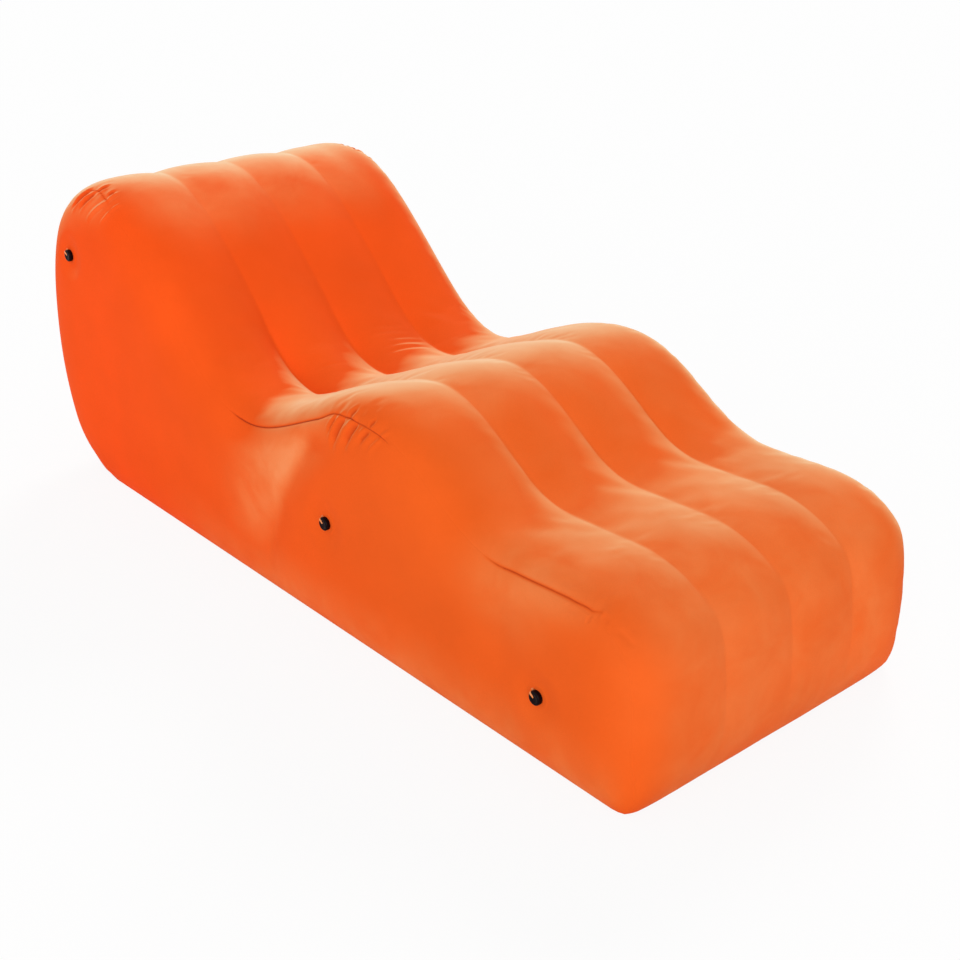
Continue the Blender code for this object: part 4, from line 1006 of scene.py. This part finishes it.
# Cap of a valve: radius, top and underside above the pad, dish with its middle, band and round, edge and lip
CAP_RADIUS = 0.0120
CAP_TOP = 0.0086
CAP_UNDER = 0.0016
CAP_DISH = 0.0006
CAP_DISH_RADIUS = 0.0075
DISH_MIDDLE = ((0.0, 1.3), (0.5, 1.2))
DISH_BAND = 0.0004
DISH_ROUND = 0.0006
CAP_EDGE = 0.0030
CAP_LIP = 0.0003
# Its skirt and its plug
SKIRT_WALL = 0.0007
SKIRT_LENGTH = 0.0011
PLUG_RADIUS = 0.0047
PLUG_TAPER = 0.0012
PLUG_LENGTH = 0.0045
# Strap from the hinge over the cap's edge to its middle: way from the axis, height, half width
STRAP = ((0.01345, 0.0020, 0.0025), (0.0130, 0.0021, 0.0025), (0.0127, 0.0027, 0.0025),
         (0.0124, 0.0036, 0.0025), (0.0124, 0.0056, 0.0025), (0.01195, 0.0073, 0.0025),
         (0.0107, 0.0085, 0.0025), (0.0090, 0.0090, 0.0024), (0.0076, 0.0088, 0.0023),
         (0.0064, 0.0084, 0.0022), (0.0040, 0.00825, 0.0019), (0.0022, 0.0082, 0.0015),
         (0.0012, 0.0081, 0.0009))
# Where the stem's lug begins, outside the rim, away from the valve's axis
LUG_FROM = 0.0113
STRAP_THICKNESS = 0.0006


def cap_profile():
    skirt = CAP_UNDER - SKIRT_LENGTH
    inner = CAP_RADIUS - SKIRT_WALL
    plug_end = PLUG_RADIUS - PLUG_TAPER
    plug_low = CAP_UNDER - PLUG_LENGTH
    points = [(CAP_DISH_RADIUS * share, CAP_TOP - CAP_DISH * depth) for share, depth in DISH_MIDDLE]
    points += [(CAP_DISH_RADIUS - DISH_BAND, CAP_TOP - CAP_DISH)]
    points += arc((CAP_DISH_RADIUS + DISH_ROUND, CAP_TOP - DISH_ROUND), DISH_ROUND, 150, 90, 4)
    points += arc((CAP_RADIUS - CAP_EDGE, CAP_TOP - CAP_EDGE), CAP_EDGE, 90, 0, 8)
    points += arc((CAP_RADIUS - CAP_LIP, skirt + CAP_LIP), CAP_LIP, 0, -90, 3)
    points += [(inner + CAP_LIP / 2, skirt), (inner, skirt + CAP_LIP / 2), (inner, CAP_UNDER),
               (PLUG_RADIUS + CAP_LIP, CAP_UNDER), (PLUG_RADIUS, CAP_UNDER - CAP_LIP),
               (PLUG_RADIUS - PLUG_TAPER / 3, CAP_UNDER - PLUG_LENGTH * 2 / 3)]
    points += arc((plug_end - CAP_LIP, plug_low + CAP_LIP), CAP_LIP, 0, -90, 3)
    return points + [(0.0, plug_low)]


def build_valves(black, strap_mat):
    """Cap and strap of each valve, in the valve's own frame: Z out of the side, X towards the strap."""
    pieces = {}
    turn = math.sqrt(0.5)
    for place, x, z, plane in VALVES:
        matrix = Matrix(((-turn, -turn, 0.0, x), (0.0, 0.0, -1.0, -plane), (turn, -turn, 0.0, z),
                         (0, 0, 0, 1)))
        shell, strap = "cap_shell_" + place, "cap_strap_" + place
        pieces[shell] = turned_piece(shell, cap_profile(), matrix, black)
        pieces[strap] = strip_piece(strap, STRAP, matrix, strap_mat, STRAP_THICKNESS)
    return pieces


def paint_lug(stem, x, z, mat):
    """The strap's orange on the stem's lug: its colour, and partly a painted highlight."""
    stem.data.materials.append(mat)
    for face in stem.data.polygons:
        centre = stem.matrix_world @ face.center
        face.material_index = int(math.hypot(centre.x - x, centre.z - z) > LUG_FROM)


# Materials
def node(tree, kind, **values):
    made = tree.nodes.new(kind)
    for key, value in values.items():
        if key.startswith("in_"):
            made.inputs[key[3:].replace("_", " ")].default_value = value
        else:
            setattr(made, key, value)
    return made


# Painted sheen and highlight, paler where a face is seen edge on and turns upward: thin and thick cover,
# where it shows, and on faces that turn upward
PAINTED_SHEEN_THIN = (1.0, 0.70, 0.24, 1.0)
PAINTED_SHEEN_THICK = (1.0, 0.75, 0.50, 1.0)
PAINTED_SHEEN_FACING = (0.42, 0.88)
PAINTED_SHEEN_POWER = 1.4
PAINTED_SHEEN_UPWARD = (0.10, 0.75)
PAINTED_SHEEN_MOST = 0.69
# Share of the painted highlight and shade patches
PAINTED_LIGHT_SHARE = 0.32
# Painted shade in the weld crease and the fold hollows
CREASE_SHADE_COLOUR = (0.40, 0.030, 0.006, 1.0)


# Colour changes, each a noise: frequency, detail and roughness, and the least and most of its shade or share
FLOCK_MOTTLE = (7.0, 2.0, 0.5)
FLOCK_SPECK = (1100.0, 2.0, 0.6)
# Noise and shares that break up the painted highlight and shade patches
PAINTED_LIGHT_CLOUD = (11.0, 3.0, 0.55, 0.4)
VINYL_CLOUD = (30.0, 2.0)
VINYL_GRAIN = (400.0, 2.0)
MOTTLE_SHADE = (0.965, 1.035)
SPECK_SHADE = (0.94, 1.06)
PAINTED_LIGHT_PATCHY = (0.55 * PAINTED_LIGHT_SHARE, 1.45 * PAINTED_LIGHT_SHARE)
VINYL_SHADE = (0.93, 1.07)
NOISE_RANGE = (0.3, 0.7)
# Head and foot of the colour's change along the bed, and strength and depth of the bumps
COLOUR_SPAN = (-0.6, 0.4)
FLOCK_BUMP = (0.3, 0.0004)
VINYL_BUMP = (0.1, 0.0002)


def feed(tree, value, socket):
    """A number, a colour or another node's output into a socket."""
    if isinstance(value, (float, tuple)):
        socket.default_value = value
    else:
        tree.links.new(value, socket)


def mix_colour(tree, factor, low, high, blend='MIX'):
    """Mix of two colours, each a colour or a socket, and its output."""
    made = node(tree, "ShaderNodeMix", data_type='RGBA', blend_type=blend)
    sockets = [made.inputs["Factor"]] + [s for s in made.inputs if s.type == 'RGBA']
    for socket, value in zip(sockets, (factor, low, high)):
        feed(tree, value, socket)
    return next(s for s in made.outputs if s.type == 'RGBA')


def math_node(tree, operation, first, second):
    made = node(tree, "ShaderNodeMath", operation=operation)
    feed(tree, first, made.inputs[0])
    feed(tree, second, made.inputs[1])
    return made.outputs[0]


def ranged(tree, value, low, high, to_low=0.0, to_high=1.0):
    made = node(tree, "ShaderNodeMapRange", in_From_Min=low, in_From_Max=high, in_To_Min=to_low,
                in_To_Max=to_high)
    tree.links.new(value, made.inputs["Value"])
    return made.outputs["Result"]


def noise_over(tree, place, scale, detail, roughness=0.5, distortion=0.0):
    """Noise over the object's own coordinates."""
    made = node(tree, "ShaderNodeTexNoise", in_Scale=scale, in_Detail=detail, in_Roughness=roughness,
                in_Distortion=distortion)
    tree.links.new(place.outputs["Object"], made.inputs["Vector"])
    return made.outputs["Fac"]


def new_material(name, **values):
    """Material, its nodes and its shader with the given inputs."""
    mat = bpy.data.materials.new(name)
    mat.use_nodes = True
    shader = mat.node_tree.nodes["Principled BSDF"]
    for key, value in values.items():
        shader.inputs[key.replace("_", " ")].default_value = value
    return mat, mat.node_tree, shader


def finish_surface(tree, shader, colour, grain, strength, distance):
    """Colour and bumps into a shader."""
    bump = node(tree, "ShaderNodeBump", in_Strength=strength, in_Distance=distance)
    tree.links.new(grain, bump.inputs["Height"])
    tree.links.new(bump.outputs["Normal"], shader.inputs["Normal"])
    tree.links.new(colour, shader.inputs["Base Color"])


def flocked_material(name, head_colour, foot_colour):
    """Short orange nap: broad and fine colour changes, painted sheen and highlight, painted shade in the weld
    crease and fold hollows, soft sheen.
    """
    mat, tree, shader = new_material(name, Roughness=0.80, Specular_IOR_Level=0.04, Sheen_Weight=0.12,
                                     Sheen_Roughness=0.30, Sheen_Tint=(1.0, 0.62, 0.30, 1.0))
    place = node(tree, "ShaderNodeTexCoord")
    mottle, speck, cloud = (noise_over(tree, place, *values)
                            for values in (FLOCK_MOTTLE, FLOCK_SPECK, PAINTED_LIGHT_CLOUD))
    along, upward = (node(tree, "ShaderNodeSeparateXYZ") for _ in range(2))
    tree.links.new(place.outputs["Object"], along.inputs[0])
    tree.links.new(place.outputs["Normal"], upward.inputs[0])
    base = mix_colour(tree, ranged(tree, along.outputs["X"], *COLOUR_SPAN), head_colour, foot_colour)
    uneven = math_node(tree, 'MULTIPLY', ranged(tree, mottle, *NOISE_RANGE, *MOTTLE_SHADE),
                       ranged(tree, speck, *NOISE_RANGE, *SPECK_SHADE))
    tint = mix_colour(tree, 1.0, base, uneven, 'MULTIPLY')
    facing = node(tree, "ShaderNodeLayerWeight", in_Blend=0.5)
    # Shares of painted highlight and of painted shade, kept on the sheets' points
    brushed, flat = (node(tree, "ShaderNodeAttribute", attribute_name=look).outputs["Fac"]
                     for look in ("brushed", "pressed"))
    # Painted sheen: paler colour where a face is seen edge on and turns upward
    painted_sheen_and_light = math_node(tree, 'POWER', ranged(tree, facing.outputs["Facing"], *PAINTED_SHEEN_FACING), PAINTED_SHEEN_POWER)
    painted_sheen_and_light = math_node(tree, 'MULTIPLY', painted_sheen_and_light, ranged(tree, upward.outputs["Z"], *PAINTED_SHEEN_UPWARD))
    painted_sheen_and_light = math_node(tree, 'MULTIPLY', painted_sheen_and_light, PAINTED_SHEEN_MOST)
    # Painted highlight and shade in patches, broken up by a noise
    painted_patches = math_node(tree, 'MULTIPLY', brushed, ranged(tree, cloud, *NOISE_RANGE, *PAINTED_LIGHT_PATCHY))
    painted_sheen_and_light = math_node(tree, 'ADD', painted_sheen_and_light, painted_patches)
    # No painted sheen or highlight where the crease and fold hollows carry painted shade
    painted_sheen_and_light = math_node(tree, 'MULTIPLY', painted_sheen_and_light, math_node(tree, 'SUBTRACT', 1.0, flat))
    nap = mix_colour(tree, painted_sheen_and_light, tint, mix_colour(tree, painted_sheen_and_light, PAINTED_SHEEN_THIN, PAINTED_SHEEN_THICK))
    # Painted shade in the weld crease and the fold hollows
    colour = mix_colour(tree, math_node(tree, 'POWER', flat, CREASE_SHADE_POWER), nap, CREASE_SHADE_COLOUR)
    finish_surface(tree, shader, colour, speck, *FLOCK_BUMP)
    return mat


def plain_material(name, colour, roughness, **extra):
    """Moulded or rolled vinyl: slightly uneven colour, fine grain."""
    mat, tree, shader = new_material(name, Roughness=roughness, **extra)
    place = node(tree, "ShaderNodeTexCoord")
    cloud, grain = (noise_over(tree, place, *values) for values in (VINYL_CLOUD, VINYL_GRAIN))
    uneven = ranged(tree, cloud, *NOISE_RANGE, *VINYL_SHADE)
    finish_surface(tree, shader, mix_colour(tree, 1.0, colour, uneven, 'MULTIPLY'), grain, *VINYL_BUMP)
    return mat


# Stage: the lamps' directions, strengths and sizes in degrees, the world's light and the floor
LAMPS = (("key", (-0.45, 0.70, 0.55), 1.35, 24.0), ("fill", (0.62, -0.70, 0.35), 1.50, 50.0))
WORLD_LEVEL = 0.56
WHITE = (1.0, 1.0, 1.0, 1.0)
FLOOR_COLOUR = (0.92, 0.92, 0.92, 1.0)
FLOOR_GLOW = 0.90
FLOOR_HALF = 30.0
FLOOR_UNDER = 0.0005


def add_sun(name, toward, strength, angle_deg):
    """Soft lamp that shines from the direction toward."""
    light = bpy.data.lights.new(name, 'SUN')
    light.energy = strength
    light.angle = math.radians(angle_deg)
    placed(name, light).rotation_euler = Vector(toward).to_track_quat('Z', 'Y').to_euler()


def add_camera():
    cam = bpy.data.cameras.new("camera")
    cam.sensor_width = 36.0
    cam.lens = 56.3
    cam.clip_start = 0.05
    cam.clip_end = 60.0
    obj = placed("camera", cam)
    right = Vector((0.6550, 0.7556, 0.0026)).normalized()
    back = Vector((0.6811, -0.5919, 0.4310))
    up = back.cross(right).normalized()
    back = right.cross(up)
    turn = Matrix((right, up, back)).transposed().to_4x4()
    obj.matrix_world = Matrix.Translation((2.059, -1.6535, 1.4025)) @ turn
    bpy.context.scene.camera = obj


def mix_shaders(tree, share, first, second, out):
    mix = node(tree, "ShaderNodeMixShader")
    for socket, source in zip(mix.inputs, (share, first.outputs[0], second.outputs[0])):
        tree.links.new(source, socket)
    tree.links.new(mix.outputs[0], out.inputs["Surface"])


def add_floor():
    """Pale floor that keeps the object's shadow, and is near white for the camera."""
    mat, tree, shader = new_material("studio_floor", Base_Color=FLOOR_COLOUR, Roughness=0.95,
                                     Specular_IOR_Level=0.0)
    glow = node(tree, "ShaderNodeEmission", in_Color=WHITE, in_Strength=1.0)
    path = node(tree, "ShaderNodeLightPath")
    share = math_node(tree, 'MULTIPLY', path.outputs["Is Camera Ray"], FLOOR_GLOW)
    mix_shaders(tree, share, shader, glow, tree.nodes["Material Output"])
    mesh = bpy.data.meshes.new("floor")
    corners = [(FLOOR_HALF * x, FLOOR_HALF * y, 0) for x, y in ((-1, -1), (1, -1), (1, 1), (-1, 1))]
    mesh.from_pydata(corners, [], [(0, 1, 2, 3)])
    mesh.materials.append(mat)
    floor = placed("floor", mesh)
    floor.location = (0.0, 0.0, -FLOOR_UNDER)


def add_world():
    """Even light all round, seen as white."""
    world = bpy.data.worlds.new("studio")
    bpy.context.scene.world = world
    world.use_nodes = True
    tree = world.node_tree
    tree.nodes.clear()
    light, seen = (node(tree, "ShaderNodeBackground", in_Color=WHITE, in_Strength=level)
                   for level in (WORLD_LEVEL, 1.0))
    path = node(tree, "ShaderNodeLightPath")
    rays = math_node(tree, 'MAXIMUM', path.outputs["Is Camera Ray"], path.outputs["Is Glossy Ray"])
    rays = math_node(tree, 'MAXIMUM', rays, path.outputs["Is Transmission Ray"])
    mix_shaders(tree, rays, light, seen, node(tree, "ShaderNodeOutputWorld"))


def main():
    flocked = flocked_material("flocked_orange", (0.92, 0.084, 0.008, 1.0), (0.835, 0.114, 0.013, 1.0))
    vinyl = plain_material("base_vinyl_orange", (0.62, 0.085, 0.015, 1.0), 0.5)
    black = plain_material("black_vinyl_gloss", (0.006, 0.002, 0.003, 1.0), 0.34, Specular_IOR_Level=0.06)
    # Orange of the strap and the stem's lug: the strap's colour, which also stands for the bright highlight
    # on the strap, so partly a painted highlight
    strap = plain_material("strap_vinyl_orange", (0.86, 0.27, 0.07, 1.0), 0.25)
    milky = plain_material("web_vinyl_milky", (0.72, 0.66, 0.58, 1.0), 0.45)
    clear = plain_material("flange_vinyl_orange", (0.75, 0.14, 0.03, 1.0), 0.4)

    pieces = build_envelope(flocked, vinyl)
    for name, solid in (("top_sheet", "top_panel"), ("side_sheet_near", "side_panel_near"),
                        ("side_sheet_far", "side_panel_far")):
        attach(pieces[name], "envelope")
        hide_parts(solid)
    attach(pieces["floor_sheet"], "envelope")
    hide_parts("base_panel")
    for name, piece in list(build_webs(milky).items()) + list(build_partitions(milky).items()):
        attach(piece, "envelope")
        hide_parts(name.replace("_sheet", ""))
    for name, piece in build_valves(black, strap).items():
        place = name.rsplit("_", 1)[1]
        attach(piece, "cap_" + place)
        if "shell" in name:
            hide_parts("valve_cap_" + place)
    looks = {"valve_flange": clear, "valve_stem": black, "valve_flap": milky}
    for name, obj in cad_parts.items():
        for start, mat in looks.items():
            if name.startswith(start):
                obj.data.materials.clear()
                obj.data.materials.append(mat)
    for place, x, z, _ in VALVES:
        # Partly painted highlight: the strap's orange on the lug
        paint_lug(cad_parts["valve_stem_" + place], x, z, strap)

    add_floor()
    add_camera()
    add_world()
    for lamp in LAMPS:
        add_sun(*lamp)
    bpy.context.scene.view_settings.view_transform = 'Standard'


main()
